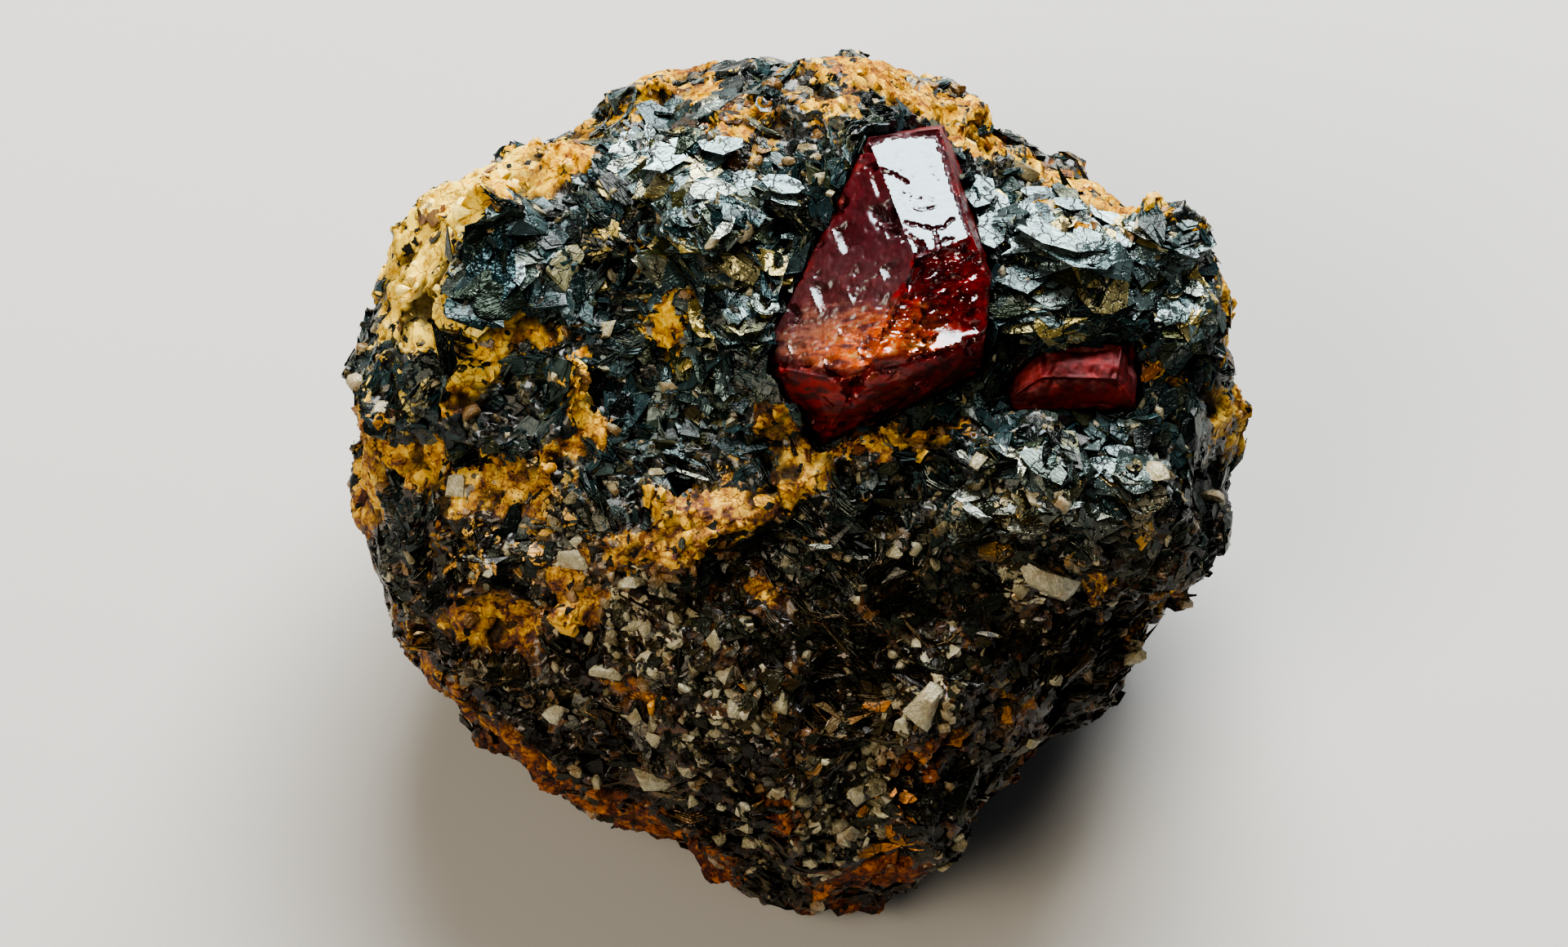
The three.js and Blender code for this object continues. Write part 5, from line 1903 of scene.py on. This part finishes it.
def zircon_finish():
    """Both crystals: red glass, with painted masks for the veil, the honey break and its painted glow, the
    foot and its painted shade, and the mirror face.
    """
    gem = Finish("zircon")
    place = gem.face_place()
    veil, honey_glow, brown = gem.split(gem.painted("veils"))
    calm, dark, matte = gem.split(gem.painted("faces"))
    cloud = gem.noise(place, 0.8, 5.0, 0.65)
    fine = gem.noise(place, 3.0, 4.0, 0.65)
    red = gem.blend(gem.rise(cloud, 0.38, 0.62), DARK_RED, BLOOD_RED)
    velvet = gem.blend(gem.rise(gem.part_of(place, UP) + cloud * 5.0, 12.5, 16.0), VELVET, WINE)
    velvet = gem.blend(gem.rise(fine, 0.5, 0.7, 0.0, 0.5), velvet, velvet * (2.2, 2.0, 1.8))
    colour = gem.blend(gem.rise(veil * 0.7 + cloud * 0.5, 0.55, 0.95, 0.0, 0.9), red, velvet)
    slanting = {"Vector": place, "Rotation": (0, 0, -0.5), "Scale": (0.55, 2.4, 1.0)}
    streaks = gem.noise(gem.add("ShaderNodeMapping", {}, slanting), 1.0, 5.0, 0.65)
    dust = gem.rise(brown * 0.45 + streaks * 0.8 + fine * 0.3, 0.78, 1.1, 0.0, 0.85)
    colour = gem.blend(dust, colour, BROWN_DUSTING)
    # Painted glow of light through the crystal over the honey break, with paler flecks in it.
    colour = gem.blend(honey_glow * gem.rise(streaks, 0.36, 0.52, 0.0, 0.95), colour, HONEY_GLOW)
    colour = gem.blend(honey_glow * gem.rise(fine * 0.5 + streaks * 0.5, 0.53, 0.6), colour, HONEY_GLOW_FLECKS)
    # Painted shade on the foot, from the dark mask: a darker red with brighter red streaks through it.
    streaky_red = gem.blend(gem.rise(streaks, 0.4, 0.62), SHADED_FOOT, FOOT_STREAKS)
    colour = gem.blend(dark * 0.85, colour, streaky_red)
    cloudy_red = gem.blend(gem.rise(cloud, 0.4, 0.62), DARK_MATTE, MATTE_RED)
    colour = gem.blend(matte * 0.95, colour, cloudy_red)
    colour = gem.blend(calm, colour, UNDER_MIRROR)
    scuffed = gem.rise(veil + brown, 0.0, 1.0, 0.09, 0.34)
    smeared = gem.rise(cloud * 0.6 + fine * 0.4, 0.42, 0.66, 0.0, 0.26)
    rough = scuffed * (1 - calm * 0.6) + (fine - 0.5) * 0.1 + calm * smeared + dark * 0.26
    rough = rough + matte * 0.5
    return gem.surface(
        Base_Color=colour,
        Roughness=rough,
        Metallic=dark * 0.4 + matte * 0.5,
        Normal=gem.bump(fine * 0.8 + gem.noise(place, 9.0, 2.0) * 0.1, 0.018),
        IOR=1.95,
        Specular_IOR_Level=0.35,
        Specular_Tint=(0.72, 0.93, 1.0, 1.0),
        Transmission_Weight=0.4,
        volume=gem.add("ShaderNodeVolumeAbsorption", {}, RED_GLASS),
    )


zircon_material = zircon_finish()
for crystal in crystals.values():
    crystal.data.materials.append(zircon_material)

# %% [markdown]
# ## Floor, light and camera
#
# The specimen lies on a plain pale floor. One large soft light stands behind it and above it, low
# enough to graze the crystal face. That is what makes mica glint, and the upper face of the large
# crystal mirrors this light straight into the camera. A weak light from the camera's side keeps
# the hollows readable.

# %% The floor
FLOOR_SIZE = 3.0


def floor_finish():
    paper = Finish("pale_floor")
    place = paper.add("ShaderNodeTexCoord", out="Object")
    tone = paper.noise(place, 9.0, 3.0)
    colour = paper.blend(tone, (0.47, 0.468, 0.46, 1.0), (0.5, 0.498, 0.49, 1.0))
    return paper.surface(Base_Color=colour, Roughness=0.85)


bm = bmesh.new()
bmesh.ops.create_grid(bm, x_segments=1, y_segments=1, size=FLOOR_SIZE / 2)
floor_mesh = bpy.data.meshes.new("floor")
bm.to_mesh(floor_mesh)
bm.free()
floor = new_object("floor", floor_mesh)
floor.data.materials.append(floor_finish())

# %% Light
ROCK_MIDDLE = CENTRE * MM


def soft_light(name, direction, distance, size, watts, colour):
    """A square soft light at a distance from the rock, facing it."""
    lamp = bpy.data.lights.new(name, "AREA")
    lamp.size = size
    lamp.energy = watts
    lamp.color = colour
    stand = new_object(name, lamp)
    away = Vector(direction).normalized()
    stand.location = ROCK_MIDDLE + away * distance
    stand.rotation_euler = away.to_track_quat("Z", "Y").to_euler()
    print(name + ":", watts, "watts")


LIGHT_SIZE = 0.3
FILL_DIRECTION = (-0.5, -0.45, 0.75)
soft_light("key_light", KEY_DIRECTION, 0.42, LIGHT_SIZE, 4.4, (0.98, 0.99, 0.98))
soft_light("fill_light", FILL_DIRECTION, 0.6, LIGHT_SIZE, 2.3, (1.0, 0.87, 0.68))
room = bpy.data.worlds.new("dim_room")
room.use_nodes = True
room.node_tree.nodes["Background"].inputs["Color"].default_value = (0.75, 0.8, 0.86, 1.0)
room.node_tree.nodes["Background"].inputs["Strength"].default_value = 0.12
bpy.context.scene.world = room
bpy.context.scene.view_settings.look = "AgX - High Contrast"

# %% Camera
CAMERA_DISTANCE = 0.3
CAMERA_LENS = 125.0
AIM_SHIFT = Vector((-0.9, 0.0, 0.0)) * MM
AIM_RISE = 0.45 * MM
lens = bpy.data.cameras.new("camera")
lens.lens = CAMERA_LENS
lens.clip_start = 0.01
camera = new_object("camera", lens)
camera.location = ROCK_MIDDLE + AIM_SHIFT + view_up * AIM_RISE + view_back * CAMERA_DISTANCE
camera.rotation_euler = view_back.to_track_quat("Z", "Y").to_euler()
bpy.context.scene.camera = camera

# %% Join each piece to the body
for piece in [*rock_halves.values(), *rock_parts, *crystals.values()]:
    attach(piece, "root")
for half in rock_halves.values():
    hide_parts("matrix")
for node, crystal in crystals.items():
    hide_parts(node)
print("pieces:", len(rock_halves) + len(rock_parts) + len(crystals))
